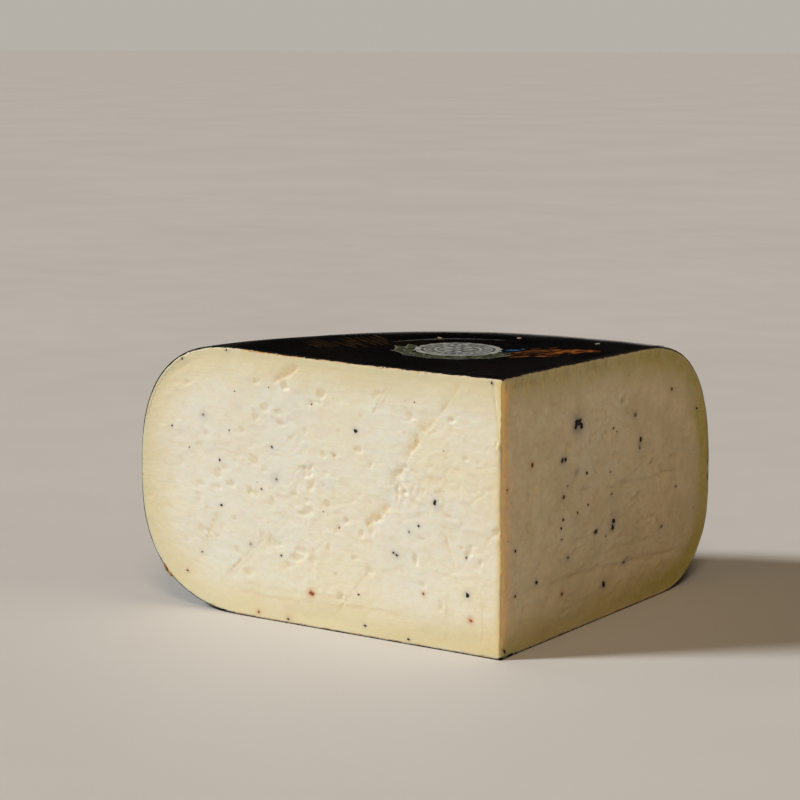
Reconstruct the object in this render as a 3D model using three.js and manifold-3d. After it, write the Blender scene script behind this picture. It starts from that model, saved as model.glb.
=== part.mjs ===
// Truffle gouda: a quarter of a coated cheese wheel, standing on its base.
//
// Millimetres, +Z up. The wheel's axis is the sharp vertical edge where the two cuts meet. The front cut
// faces -Y and runs from that edge towards -X; the side cut faces +X and runs from it towards +Y. The origin
// is the middle of the bounding box, on the base.
//
// The cheese with its rind is one solid. Its two cuts show slightly different sections of the same wheel, so
// the rind is lofted from one section to the other. The cuts carry the relief that a wire and a curdy,
// slightly open paste leave: low waves, pits, knife scores and chipped edges. The printed label on the top
// is a thin sheet of its own.

import * as THREE from "three";
import { mergeVertices } from "three/addons/utils/BufferGeometryUtils.js";
import Module from "manifold-3d";

// ---- Driving dimensions ----

const CENTRE_HEIGHT = 107.4; // at the wheel's axis
const QUARTER = Math.PI / 2;

// A section of the wheel: its radius, the height where it is widest, the height of the top where the upper
// shoulder starts, and each shoulder's reach inwards with the power of its superellipse.
const FRONT_SECTION = {
  radius: 175.8,
  widest: 53,
  brim: 109.8,
  upperReach: 50,
  upperPower: 2.58,
  lowerReach: 57.5,
  lowerPower: 2.47,
};
const SIDE_SECTION = {
  radius: 171.3,
  widest: 39.5,
  brim: 106.5,
  upperReach: 68.5,
  upperPower: 2.83,
  lowerReach: 43.5,
  lowerPower: 2.18,
};
const RIND_SWAY = 0.7; // how far the rind strays from round between the cuts
const BRIM_SWELL = 1.0; // how much higher the brim is half way round

const LABEL_RADIUS = 128;
const LABEL_THICKNESS = 0.4;
const LABEL_GAP = 0.3;

const FLAT_COLUMNS = 18; // from the axis to the label's edge
const SHOULDER_COLUMNS = 14; // from there to the widest point
const TURN_STEPS = 24;
const CUT_ROWS = 18;

const WAVE_DEPTH = 0.55; // of the low waves that the wire left, always into the cheese
const RELIEF_MARGIN = 5; // the waves fade out this near a cut's outline

const CORNER = { x: FRONT_SECTION.radius / 2, y: -SIDE_SECTION.radius / 2 };

// ---- The wheel's form ----

const smooth = (t) => t * t * (3 - 2 * t);

// The section part of the way round, from the front cut (0) to the side cut (1).
function sectionAt(share) {
  const blend = smooth(share);
  const section = {};
  for (const key of Object.keys(FRONT_SECTION))
    section[key] = THREE.MathUtils.lerp(FRONT_SECTION[key], SIDE_SECTION[key], blend);
  section.radius -= RIND_SWAY * Math.sin(2 * Math.PI * share) ** 2;
  section.brim += BRIM_SWELL * (Math.sin(Math.PI * share) - 0.6 * Math.sin(2 * Math.PI * share));
  return section;
}

// How far a superellipse shoulder has fallen away, from 1 where it starts to 0 at the widest point.
function shoulder(radius, section, reach, power) {
  const into = Math.max(0, 1 - (section.radius - radius) / reach);
  return (1 - into ** power) ** (1 / power);
}

function topHeight(section, radius) {
  const flat = section.radius - section.upperReach;
  const rise = (section.brim - CENTRE_HEIGHT) * Math.min(1, radius / flat) ** 2;
  const left = shoulder(radius, section, section.upperReach, section.upperPower);
  return section.widest + (CENTRE_HEIGHT + rise - section.widest) * left;
}

function baseHeight(section, radius) {
  return section.widest * (1 - shoulder(radius, section, section.lowerReach, section.lowerPower));
}

// Columns stand on fixed circles under the label, then crowd together towards the widest point.
function columnRadius(column, section) {
  if (column <= FLAT_COLUMNS) return (LABEL_RADIUS * column) / FLAT_COLUMNS;
  const turn = (QUARTER * (column - FLAT_COLUMNS)) / SHOULDER_COLUMNS;
  return section.radius - (section.radius - LABEL_RADIUS) * (1 - Math.sin(turn));
}

function inFrame(radius, share, height) {
  const turn = QUARTER * share;
  return new THREE.Vector3(
    CORNER.x - radius * Math.cos(turn),
    CORNER.y + radius * Math.sin(turn),
    height,
  );
}

// ---- Closed meshes from grids ----

// Collects triangles from grids of points and welds them into one closed geometry.
class Skin {
  constructor() {
    this.corners = [];
  }

  triangle(a, b, c) {
    this.corners.push(a, b, c);
  }

  // pointAt(i, j) gives the grid's points; the face looks out where i, j and outwards are right-handed.
  grid(columns, rows, pointAt, flipped = false) {
    for (let i = 0; i < columns; i++)
      for (let j = 0; j < rows; j++) {
        const [a, b, c, d] = [pointAt(i, j), pointAt(i + 1, j), pointAt(i + 1, j + 1), pointAt(i, j + 1)];
        if (flipped) {
          this.triangle(a, c, b);
          this.triangle(a, d, c);
        } else {
          this.triangle(a, b, c);
          this.triangle(a, c, d);
        }
      }
  }

  geometry() {
    const loose = new THREE.BufferGeometry().setFromPoints(this.corners);
    const welded = mergeVertices(loose, 1e-4);
    const kept = [];
    const index = welded.index.array;
    for (let i = 0; i < index.length; i += 3) {
      const [a, b, c] = [index[i], index[i + 1], index[i + 2]];
      if (a !== b && b !== c && c !== a) kept.push(a, b, c);
    }
    welded.setIndex(kept);
    return welded;
  }
}

// ---- The cuts ----

const CUTS = [
  { name: "front", share: 0, inwards: new THREE.Vector3(0, 1, 0), phase: 0.4 },
  { name: "side", share: 1, inwards: new THREE.Vector3(-1, 0, 0), phase: 2.3 },
];

// Low waves across a cut: long ones along it, crossed by shorter slanting ones.
function wave(cut, along, up) {
  const long = Math.sin(along / 23 + cut.phase) * Math.sin(up / 17 + 2 * cut.phase);
  const slant = Math.sin((along + 1.6 * up) / 11 + 3 * cut.phase);
  return (WAVE_DEPTH / 2) * (1 + 0.7 * long + 0.3 * slant);
}

function cutPoint(cut, column, row) {
  const section = sectionAt(cut.share);
  const radius = columnRadius(column, section);
  const base = baseHeight(section, radius);
  const top = topHeight(section, radius);
  const height = THREE.MathUtils.lerp(base, top, row / CUT_ROWS);
  const margin = Math.min(radius, section.radius - radius, height - base, top - height);
  const fade = smooth(THREE.MathUtils.clamp(margin / RELIEF_MARGIN, 0, 1));
  const point = inFrame(radius, cut.share, height);
  return point.addScaledVector(cut.inwards, wave(cut, radius, height) * fade);
}

function wheelQuarter() {
  const columns = FLAT_COLUMNS + SHOULDER_COLUMNS;
  const onRind = (heightAt) => (column, step) => {
    const share = step / TURN_STEPS;
    const section = sectionAt(share);
    const radius = columnRadius(column, section);
    return inFrame(radius, share, heightAt(section, radius));
  };
  const skin = new Skin();
  skin.grid(columns, TURN_STEPS, onRind(topHeight), true);
  skin.grid(columns, TURN_STEPS, onRind(baseHeight));
  skin.grid(columns, CUT_ROWS, (i, j) => cutPoint(CUTS[0], i, j), true);
  skin.grid(columns, CUT_ROWS, (i, j) => cutPoint(CUTS[1], i, j));
  return skin.geometry();
}

// ---- Pits, scores and chips ----

const wasm = await Module();
wasm.setup();

function solidFrom(geometry) {
  const bare = geometry.clone();
  bare.deleteAttribute("normal");
  bare.deleteAttribute("uv");
  const welded = mergeVertices(bare, 1e-4);
  return new wasm.Manifold(
    new wasm.Mesh({
      numProp: 3,
      vertProperties: new Float32Array(welded.attributes.position.array),
      triVerts: new Uint32Array(welded.index.array),
    }),
  );
}

function geometryFrom(solid) {
  const mesh = solid.getMesh();
  return new THREE.BufferGeometry()
    .setAttribute("position", new THREE.BufferAttribute(new Float32Array(mesh.vertProperties), mesh.numProp))
    .setIndex(new THREE.BufferAttribute(new Uint32Array(mesh.triVerts), 1));
}

// A repeatable stream of numbers from 0 to 1.
function randomStream(seed) {
  let state = seed;
  return () => {
    state = (state * 1664525 + 1013904223) % 4294967296;
    return state / 4294967296;
  };
}

// Stands a tool on a cut: its x along the cut, its y across it and its z up.
function placeOnCut(geometry, cut, along, up, depth, lean) {
  const spot = inFrame(along, cut.share, up).addScaledVector(cut.inwards, depth);
  const run = inFrame(1, cut.share, 0).sub(inFrame(0, cut.share, 0));
  const height = new THREE.Vector3(0, 0, 1);
  const across = new THREE.Vector3().crossVectors(height, run);
  return geometry
    .rotateY(lean)
    .applyMatrix4(new THREE.Matrix4().makeBasis(run, across, height))
    .translate(spot.x, spot.y, spot.z);
}

// A crumbly hollow: a coarse ball with an uneven surface, squashed to width, depth and height.
function hollowTool(width, depth, height, random) {
  const ball = new THREE.SphereGeometry(0.5, 7, 5);
  ball.deleteAttribute("normal");
  ball.deleteAttribute("uv");
  const welded = mergeVertices(ball, 1e-4);
  const position = welded.attributes.position;
  for (let i = 0; i < position.count; i++) {
    const swell = 0.8 + 0.4 * random();
    position.setXYZ(i, position.getX(i) * swell, position.getY(i) * swell, position.getZ(i) * swell);
  }
  return welded.scale(width, depth, height);
}

// A V-shaped groove from one point of a cut to another.
function scoreTool(cut, [along, up], [endAlong, endUp], width) {
  const run = Math.hypot(endAlong - along, endUp - up);
  const bar = new THREE.BoxGeometry(run, width, width).rotateX(Math.PI / 4);
  const lean = -Math.atan2(endUp - up, endAlong - along);
  return placeOnCut(bar, cut, (along + endAlong) / 2, (up + endUp) / 2, WAVE_DEPTH / 3, lean);
}

// The largest hollows: [along, up, width, height].
const LARGE_HOLLOWS = {
  front: [
    [86.5, 62, 9, 7],
    [46, 63, 6, 9],
    [141, 73, 6, 4],
    [104, 95, 10, 4],
    [88, 90.5, 6, 4],
    [58, 43, 9, 5],
    [136, 50, 6, 4],
    [20, 90, 6, 4],
  ],
  side: [
    [60, 79, 6, 4],
    [65, 45.5, 5, 3],
    [93, 34, 4, 4],
    [84, 18, 4, 4],
    [124, 33, 5, 4],
  ],
};
const SCATTERED_HOLLOWS = { front: 26, side: 14 };

// Knife scores and the long tear down the front cut: [start, end, width], each point [along, up].
const SCORES = {
  front: [
    [[51, 100], [59, 89], 0.8],
    [[18, 104], [37, 81], 0.7],
    [[37, 81], [44, 70], 1.2],
    [[44, 70], [60, 45], 1.5],
    [[135, 43], [143, 27], 0.8],
    [[122, 25], [134, 14], 0.7],
    [[36, 11.5], [135, 10], 0.7],
    [[26, 47], [20.5, 32], 1.0],
    [[68, 18], [76, 7], 0.6],
  ],
  side: [
    [[3, 22.5], [44, 21.8], 0.9],
    [[44, 21.8], [109, 18.2], 1.0],
    [[43, 52.5], [67, 54.7], 0.7],
    [[67, 54.7], [108, 51.2], 0.7],
  ],
};

// Chips out of the sharp edges: [cut, along, up, size].
const EDGE_CHIPS = [
  ["front", 0, 49, 4],
  ["front", 0, 79, 3],
  ["front", 8, 0, 4],
  ["front", 41, 0, 3],
  ["front", 101, 0, 3],
  ["side", 20, 0, 4],
  ["side", 75, 0, 3],
  ["front", 69, CENTRE_HEIGHT + 1, 3],
  ["side", 38, CENTRE_HEIGHT, 3],
];

// The largest truffle pieces, which the wire left standing a little proud: [along, up, width, height].
const TRUFFLE_PIECES = {
  front: [
    [66.9, 81.3, 2.4, 2.0],
    [29.8, 57.3, 2.2, 2.2],
    [48.1, 34.9, 2.4, 1.8],
    [15.2, 23.1, 2.0, 2.4],
    [133.6, 44.5, 2.0, 1.8],
    [88.5, 13.9, 2.4, 1.8],
    [13.6, 13.5, 1.8, 1.4],
    [37.4, 47.3, 1.6, 1.2],
    [118.8, 30.2, 1.6, 1.4],
    [103.3, 27.3, 1.4, 1.4],
  ],
  side: [
    [57.4, 82.2, 5.4, 3.4],
    [45.5, 69.7, 4.0, 2.4],
    [108.8, 68.9, 3.8, 2.4],
    [104.0, 79.8, 2.8, 2.0],
    [46.7, 55.0, 3.2, 2.4],
    [72.7, 36.5, 3.8, 2.4],
    [86.4, 37.4, 3.2, 3.2],
    [79.0, 14.0, 3.8, 2.6],
    [57.7, 46.9, 2.6, 1.8],
    [46.7, 45.9, 2.6, 1.8],
    [26.4, 25.0, 2.4, 1.8],
    [10.1, 40.3, 2.0, 1.4],
    [22.2, 71.4, 3.0, 1.6],
    [86.0, 76.8, 2.0, 1.4],
    [119.0, 57.8, 2.0, 1.4],
    [97.3, 19.6, 2.4, 1.6],
  ],
};
const TRUFFLE_THICKNESS = 1.6;
const TRUFFLE_PROUD = 0.35; // of that stands out of the cut

// A drop of hardened coating at the rim of the front cut: [along, up, length, width], leaning with the rind.
const COAT_DROP = [162.6, 13.8, 6.5, 2.2];
const DROP_LEAN = -0.85;

function hollowsOf(cut, random) {
  const tools = [];
  for (const [along, up, width, height] of LARGE_HOLLOWS[cut.name]) {
    const tool = hollowTool(width, 3.2, height, random);
    tools.push(placeOnCut(tool, cut, along, up, 0, (random() - 0.5) * 0.9));
  }
  for (let i = 0; i < SCATTERED_HOLLOWS[cut.name]; i++) {
    const along = 12 + 145 * random();
    const up = 16 + 74 * random();
    const size = 2 + 2.6 * random() ** 2;
    const tool = hollowTool(size * (1 + 0.8 * random()), 2.2, size, random);
    tools.push(placeOnCut(tool, cut, along, up, 0.1, (random() - 0.5) * 1.6));
  }
  return tools;
}

// A craggy lump with twenty uneven faces.
function lumpTool(width, depth, height, random) {
  const lump = new THREE.IcosahedronGeometry(0.5, 0);
  lump.deleteAttribute("normal");
  lump.deleteAttribute("uv");
  const welded = mergeVertices(lump, 1e-4);
  const position = welded.attributes.position;
  for (let i = 0; i < position.count; i++) {
    const swell = 0.75 + 0.5 * random();
    position.setXYZ(i, position.getX(i) * swell, position.getY(i) * swell, position.getZ(i) * swell);
  }
  return welded.scale(width, depth, height);
}

function lumpsOf(cut, random) {
  return TRUFFLE_PIECES[cut.name].map(([along, up, width, height]) => {
    const lump = lumpTool(width, TRUFFLE_THICKNESS, height, random);
    const depth = TRUFFLE_THICKNESS / 2 - TRUFFLE_PROUD + WAVE_DEPTH / 2;
    return placeOnCut(lump, cut, along, up, depth, (random() - 0.5) * 2);
  });
}

function cheeseGeometry() {
  const random = randomStream(20261);
  const hollows = [];
  const lumps = [];
  for (const cut of CUTS) {
    hollows.push(...hollowsOf(cut, random));
    for (const [start, end, width] of SCORES[cut.name]) hollows.push(scoreTool(cut, start, end, width));
    lumps.push(...lumpsOf(cut, random));
  }
  for (const [name, along, up, size] of EDGE_CHIPS) {
    const cut = CUTS.find((one) => one.name === name);
    hollows.push(placeOnCut(hollowTool(size * 1.8, size / 2, size * 0.7, random), cut, along, up, 0, 0));
  }
  const [dropAlong, dropUp, dropLength, dropWidth] = COAT_DROP;
  const drop = lumpTool(dropLength, dropWidth, dropWidth, random);
  lumps.push(placeOnCut(drop, CUTS[0], dropAlong, dropUp, dropWidth / 2, DROP_LEAN));

  let cheese = solidFrom(wheelQuarter());
  for (const hollow of hollows) cheese = cheese.subtract(solidFrom(hollow));
  for (const lump of lumps) cheese = cheese.add(solidFrom(lump));
  return geometryFrom(cheese);
}

// ---- The label ----

// A quarter of a round sheet that follows the top, cut off with the cheese.
function labelGeometry() {
  const sheetPoint = (lift) => (column, step) => {
    const share = step / TURN_STEPS;
    const section = sectionAt(share);
    const radius = columnRadius(column, section);
    return inFrame(radius, share, topHeight(section, radius) + lift);
  };
  const under = sheetPoint(LABEL_GAP);
  const over = sheetPoint(LABEL_GAP + LABEL_THICKNESS);
  const rim = (edgePoint) => (i, j) => edgePoint(j === 0 ? under : over, i);
  const skin = new Skin();
  skin.grid(FLAT_COLUMNS, TURN_STEPS, over, true);
  skin.grid(FLAT_COLUMNS, TURN_STEPS, under);
  skin.grid(FLAT_COLUMNS, 1, rim((sheet, i) => sheet(i, 0)), true);
  skin.grid(FLAT_COLUMNS, 1, rim((sheet, i) => sheet(i, TURN_STEPS)));
  skin.grid(TURN_STEPS, 1, rim((sheet, i) => sheet(FLAT_COLUMNS, i)), true);
  return skin.geometry();
}

// ---- The object ----

function namedMesh(name, geometry, colour, roughness) {
  geometry.computeVertexNormals();
  const material = new THREE.MeshStandardMaterial({ color: colour, roughness, metalness: 0, flatShading: true });
  const mesh = new THREE.Mesh(geometry, material);
  mesh.name = name;
  return mesh;
}

const gouda = new THREE.Group();
gouda.name = "truffle_gouda_quarter";
gouda.add(namedMesh("truffle_gouda", cheeseGeometry(), 0xe9dcb6, 0.55));
gouda.add(namedMesh("top_label", labelGeometry(), 0x0d0d0f, 0.3));

// The middle of the base goes to the origin.
const bounds = new THREE.Box3().setFromObject(gouda);
const middle = bounds.getCenter(new THREE.Vector3());
for (const mesh of gouda.children) mesh.geometry.translate(-middle.x, -middle.y, -bounds.min.z);

export default gouda;
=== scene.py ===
"""A quarter of a truffle gouda wheel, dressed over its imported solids.

The form is built in millimetres from the wheel's two cut sections, as the solids are, and goes to metres when
a mesh is made. A place on a cut is (along, up): millimetres out from the wheel's axis and up from the base.
"""

import math

import bmesh
import bpy
import numpy as np
from mathutils import Euler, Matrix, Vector


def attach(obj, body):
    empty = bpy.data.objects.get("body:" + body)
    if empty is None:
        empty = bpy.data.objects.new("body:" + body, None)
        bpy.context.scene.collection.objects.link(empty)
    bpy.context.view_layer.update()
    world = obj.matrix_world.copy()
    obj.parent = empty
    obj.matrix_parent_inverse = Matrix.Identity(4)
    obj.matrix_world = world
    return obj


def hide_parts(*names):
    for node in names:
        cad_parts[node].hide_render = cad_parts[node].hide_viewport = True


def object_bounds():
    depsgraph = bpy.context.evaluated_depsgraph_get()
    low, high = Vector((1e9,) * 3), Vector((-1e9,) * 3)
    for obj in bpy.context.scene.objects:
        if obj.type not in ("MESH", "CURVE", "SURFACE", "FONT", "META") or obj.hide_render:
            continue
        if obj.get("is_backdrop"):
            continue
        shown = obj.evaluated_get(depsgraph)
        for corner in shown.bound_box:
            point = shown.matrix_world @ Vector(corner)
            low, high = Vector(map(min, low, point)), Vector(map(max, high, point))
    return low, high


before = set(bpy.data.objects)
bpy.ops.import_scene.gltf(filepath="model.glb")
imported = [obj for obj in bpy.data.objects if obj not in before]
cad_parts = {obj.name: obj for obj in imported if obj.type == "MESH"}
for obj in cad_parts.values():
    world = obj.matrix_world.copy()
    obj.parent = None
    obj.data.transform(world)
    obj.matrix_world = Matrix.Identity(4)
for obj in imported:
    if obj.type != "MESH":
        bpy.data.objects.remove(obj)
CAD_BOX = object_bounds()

# ---- The wheel's form, in millimetres ----

MM = 0.001
CORNER = np.array([87.84, -85.59])  # the wheel's axis, where the two cuts meet
CENTRE_HEIGHT = 107.4
SECTION_KEYS = ("radius", "widest", "brim", "upper_reach", "upper_power", "lower_reach", "lower_power")
FRONT_SECTION = dict(zip(SECTION_KEYS, (175.8, 53.0, 109.8, 50.0, 2.58, 57.5, 2.47)))
SIDE_SECTION = dict(zip(SECTION_KEYS, (171.3, 39.5, 106.5, 68.5, 2.83, 43.5, 2.18)))
RIND_SWAY = 0.7
BRIM_SWELL = 1.0
COAT = 0.6  # how far the paste stands in from the coat's outside
LABEL_RADIUS = 128.0


def smooth(t):
    t = np.clip(t, 0.0, 1.0)
    return t * t * (3 - 2 * t)


def section_at(share):
    """The section part of the way round, from the front cut (0) to the side cut (1)."""
    blend = smooth(share)
    section = {k: FRONT_SECTION[k] + (SIDE_SECTION[k] - FRONT_SECTION[k]) * blend for k in SECTION_KEYS}
    section["radius"] = section["radius"] - RIND_SWAY * np.sin(2 * np.pi * share) ** 2
    swell = np.sin(np.pi * share) - 0.6 * np.sin(2 * np.pi * share)
    section["brim"] = section["brim"] + BRIM_SWELL * swell
    return section


def shoulder(radius, section, reach, power, inset):
    outer = section["radius"] - inset
    into = np.clip(1 - (outer - radius) / (section[reach] - inset), 0.0, 1.0)
    return (1 - into ** section[power]) ** (1 / section[power])


def top_height(section, radius, inset=0.0):
    flat = section["radius"] - section["upper_reach"]
    rise = (section["brim"] - CENTRE_HEIGHT) * np.minimum(1, radius / flat) ** 2
    left = shoulder(radius, section, "upper_reach", "upper_power", inset)
    return section["widest"] + (CENTRE_HEIGHT - inset + rise - section["widest"]) * left


def base_height(section, radius, inset=0.0):
    left = shoulder(radius, section, "lower_reach", "lower_power", inset)
    return section["widest"] - (section["widest"] - inset) * left


def in_frame(radius, share, height):
    """Frame coordinates in millimetres, stacked on a last axis."""
    turn = share * np.pi / 2
    x = CORNER[0] - radius * np.cos(turn)
    y = CORNER[1] + radius * np.sin(turn)
    return np.stack(np.broadcast_arrays(x, y, height), axis=-1)


def on_top(left, right, lift):
    """A point over the top, from its distances along the two cuts."""
    radius = np.hypot(left, right)
    share = np.arctan2(right, np.maximum(left, 1e-9)) / (np.pi / 2)
    return in_frame(radius, share, top_height(section_at(share), radius) + lift)


# ---- Noise and falloffs ----

NOISE_CELLS = 128


def noise2(x, y, seed):
    """Smooth noise between -1 and 1 over arrays of coordinates, one cell to a unit."""
    table = np.random.default_rng(seed).uniform(-1, 1, (NOISE_CELLS, NOISE_CELLS))
    xi, yi = np.floor(x).astype(int), np.floor(y).astype(int)
    sx, sy = smooth(x - xi), smooth(y - yi)
    at = lambda i, j: table[(xi + i) % NOISE_CELLS, (yi + j) % NOISE_CELLS]
    low = at(0, 0) * (1 - sx) + at(1, 0) * sx
    high = at(0, 1) * (1 - sx) + at(1, 1) * sx
    return low * (1 - sy) + high * sy


def rough(x, y, seed, octaves=3):
    """Noise with finer and weaker noise on it."""
    total = 0.0
    for k in range(octaves):
        total = total + noise2(x * 2**k + 7.3 * k, y * 2**k + 3.1 * k, seed + k) / 2**k
    return total / 1.75


def bell(distance, width):
    return np.exp(-((distance / width) ** 2))


def from_line(along, up, points):
    """How far each place is from a polyline, on which side of it, and how far along it, 0 to 1.

    The side is positive where the place is lower or nearer to the wheel's axis.
    """
    runs = points[1:] - points[:-1]
    lengths = np.hypot(runs[:, 0], runs[:, 1])
    starts = np.concatenate([[0], np.cumsum(lengths)])
    best = np.full(along.shape, 1e9)
    side = np.zeros(along.shape)
    where = np.zeros(along.shape)
    for (a, b), (da, db), length, start in zip(points[:-1], runs, lengths, starts):
        t = np.clip(((along - a) * da + (up - b) * db) / length**2, 0, 1)
        off_a, off_b = along - a - t * da, up - b - t * db
        distance = np.hypot(off_a, off_b)
        nearer = distance < best
        best = np.where(nearer, distance, best)
        side = np.where(nearer, np.sign(-off_b - 0.8 * off_a), side)
        where = np.where(nearer, (start + t * length) / starts[-1], where)
    return best, side, where


# ---- Relief on the cuts ----

# Open pits that show on each cut: (along, up, width, height, lean in degrees, depth).
FRONT_PITS = [
    (91.6, 63.2, 7.6, 4.4, 38, 0.9), (88.4, 57.4, 3.6, 5, 10, 0.6), (46.8, 66.9, 3.4, 2.8, 20, 0.4),
    (47.5, 60.8, 2.2, 4.8, -8, 0.75), (50.4, 63, 2.4, 2, 0, 0.45), (43.8, 69.5, 2.6, 2.2, 0, 0.7),
    (141, 73.5, 5.6, 3.6, -10, 0.6), (144.6, 68.6, 4.4, 2.6, 0, 0.5), (101.5, 97, 9.5, 2.8, 40, 0.8),
    (88, 91, 5.6, 3, 5, 0.55), (104.8, 85.5, 5.4, 2.6, 0, 0.6), (103.4, 81, 6, 2.8, 4, 0.7),
    (122.6, 76.4, 3.4, 2.6, 60, 0.55), (115.5, 97, 4.6, 2.4, 8, 0.5), (150.5, 93.5, 4.6, 2.4, 0, 0.5),
    (22.8, 89.8, 4, 2.6, 25, 0.75), (42, 90, 5, 3, 10, 0.45), (66.2, 74.2, 4.4, 3.2, 15, 0.55),
    (59.5, 69.5, 3.4, 2.2, -20, 0.45), (77.6, 71, 5, 1.8, 20, 0.6), (16.6, 75.6, 3, 2, 0, 0.5),
    (10.8, 74.6, 2.2, 1.8, 0, 0.6), (29.6, 61.2, 2.6, 1.6, -20, 0.4), (55.6, 48, 3.4, 2.4, 30, 0.5),
    (36, 42.4, 5.2, 1.8, -5, 0.5), (39.2, 34.6, 3, 5.4, -12, 0.75), (14.8, 40.6, 3.6, 4.4, 20, 0.5),
    (9.6, 36.6, 2.6, 3.4, 0, 0.4), (36, 24.6, 3.8, 2.4, 20, 0.45), (27.4, 17, 2.4, 4.2, 15, 0.4),
    (24, 52.5, 5, 2.6, 10, 0.35), (71, 45.2, 3, 3, 0, 0.5), (75.2, 42.6, 3.2, 2, 20, 0.6),
    (92, 46.2, 5.4, 2.8, -12, 0.55), (96.8, 52.8, 4.4, 2.6, 25, 0.5), (107.8, 48.6, 4.8, 3.4, 12, 0.55),
    (117, 51.2, 5.6, 2.6, 5, 0.5), (128.6, 54.2, 4.4, 3.6, 8, 0.65), (136.4, 52, 5.8, 2.8, -5, 0.6),
    (146, 47.8, 4.6, 2.6, 12, 0.45), (154.5, 60.5, 3.2, 3.4, 0, 0.35), (133.4, 36, 3.4, 5, 5, 0.5),
    (141, 33, 3, 2.4, 0, 0.4), (126, 27.4, 4.6, 3, 25, 0.4), (113.6, 35.2, 3.4, 2.6, 0, 0.35),
    (100.6, 24, 4, 2.4, 20, 0.4), (88, 29.2, 3.4, 5, 10, 0.35), (80, 34, 3, 3, 0, 0.35),
    (60.8, 27, 5, 2.6, 30, 0.4), (68, 31.2, 3.6, 2.6, 0, 0.35), (96, 13.6, 2.6, 2, 0, 0.3),
]
SIDE_PITS = [
    (26, 92.5, 5, 3.2, 20, 0.5), (43, 93, 6, 2.6, -10, 0.35), (95, 88.5, 6.5, 2.6, 25, 0.55),
    (70, 76.4, 6, 2.2, 15, 0.4), (80.5, 75, 6, 2.8, 10, 0.4), (88, 65.4, 7, 2.6, -10, 0.4),
    (35, 73, 6, 2.2, 10, 0.35), (52, 50.8, 5, 2.4, 10, 0.35), (72, 51.6, 6, 3, -5, 0.5),
    (112, 61, 7, 2.6, 12, 0.45), (124, 76, 5, 2.4, 0, 0.4), (104, 45, 6, 2.4, 8, 0.45),
    (64, 41, 5, 2.2, 0, 0.35), (93, 31.5, 6, 2.6, 12, 0.4), (34, 37, 5, 2.2, 0, 0.3),
    (120, 35, 6, 2.6, 5, 0.35), (130, 52, 5, 2.4, 0, 0.35), (18, 52.5, 4, 2, 0, 0.3),
]

# Grooves: (width, depth, how much further the lower bank runs out, then along and up of each point in turn).
FRONT_GROOVES = [
    (0.5, 0.22, -1.3, 17.7, 103.9, 22, 98, 27.5, 91.2, 32.5, 86),
    (0.5, 0.4, -2.6, 28.5, 90, 32.5, 85.6, 35.4, 83.4, 37.5, 79.7, 41.2, 75.6, 43.6, 70.4),
    (0.5, 0.46, -2.6, 62.5, 43, 58.6, 46.6, 55.6, 47.4, 52.6, 51.6, 48.6, 55.2),
    (0.5, 0.3, -1.8, 43.6, 70.4, 45, 67.6, 48.6, 64.6, 47.6, 60.4, 46.8, 56.6),
    (0.35, 0.32, 0.2, 51.4, 100.9, 55.6, 94.6, 59.1, 88.5),
    (0.35, 0.22, 0.2, 49.4, 100.9, 53.4, 94.6, 56.4, 90),
    (0.4, 0.28, 0.5, 134.7, 43.1, 139.8, 34, 143.3, 26.7),
    (0.4, 0.12, 0.2, 132.6, 42.6, 137.4, 33.6, 140.2, 28),
    (0.4, 0.28, 0.4, 108, 36.5, 121.6, 24.9, 133.6, 14.1),
    (0.4, 0.14, 0.2, 106, 35.4, 119.6, 24, 130, 14.8), (0.4, 0.24, 0.3, 68, 18.1, 72.4, 12.6, 76.3, 7.2),
    (0.5, 0.16, 0.4, 60, 27.4, 64.6, 21.6, 68, 18.1),
    (0.5, 0.16, 0.7, 135.2, 10.4, 108, 9.4, 79.2, 10.5, 56, 11.8, 33, 10.2),
    (0.5, 0.08, 0.4, 126, 13.4, 96, 12.8, 70, 14.4), (0.3, 0.3, -0.9, 26, 47.1, 23.6, 41, 20.5, 32.3),
    (0.4, 0.18, 0.3, 23.4, 68.4, 27, 62, 29.8, 58.6), (0.6, 0.16, 0.4, 27, 67.6, 22.6, 71.2, 17, 70.6),
    (0.7, 0.2, 1, 43.4, 70.2, 38, 67.4, 31, 66, 24, 67.6), (0.6, 0.2, 0.8, 44, 64, 38.4, 61.6, 31, 62.4),
    (0.5, 0.15, 0.6, 42, 57.6, 36, 55.2, 30.6, 56.4),
    (0.4, 0.38, -2.4, 93.2, 105.1, 97, 101.6, 100.6, 99.7, 108.1, 96.7),
    (0.6, 0.12, 0.6, 24.4, 25, 24, 12, 24.6, 2), (0.6, 0.07, 0.4, 40.4, 21, 40, 10, 40.6, 3),
    (0.6, 0.09, 0.4, 9, 24.6, 8, 12, 8.6, 3), (0.4, 0.11, 0.2, 15, 22, 12.4, 14, 10.6, 6),
    (0.8, 0.12, 0.6, 30, 48.6, 18, 47, 6, 47.6), (0.7, 0.1, 0.8, 40, 31, 54, 27.6, 66, 29.4),
    (0.7, 0.11, 0.6, 34, 30.6, 20, 28.6, 8, 30.4), (0.6, 0.14, 0.8, 57, 39, 63, 37.4, 72, 39.6),
    (0.5, 0.12, 1, 62.5, 43, 66, 38.4, 71, 34.6), (0.5, 0.16, 0.3, 172, 47, 166, 46.6, 160, 47.6),
    (0.45, 0.14, 0.3, 173, 44.6, 167, 43.8, 162, 44.4), (0.45, 0.1, 0.3, 171, 41.6, 166, 40.6, 163, 41.4),
    (0.5, 0.2, 0.4, 160, 97.6, 154, 99.4, 149.6, 101.4), (0.45, 0.1, 0.3, 144, 47.6, 146.8, 41, 149, 30.6),
    (0.7, 0.14, 1.2, 88, 55, 97, 50.4, 108, 52), (0.7, 0.12, 1, 118, 70, 126, 66, 137, 67.4),
]
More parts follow.
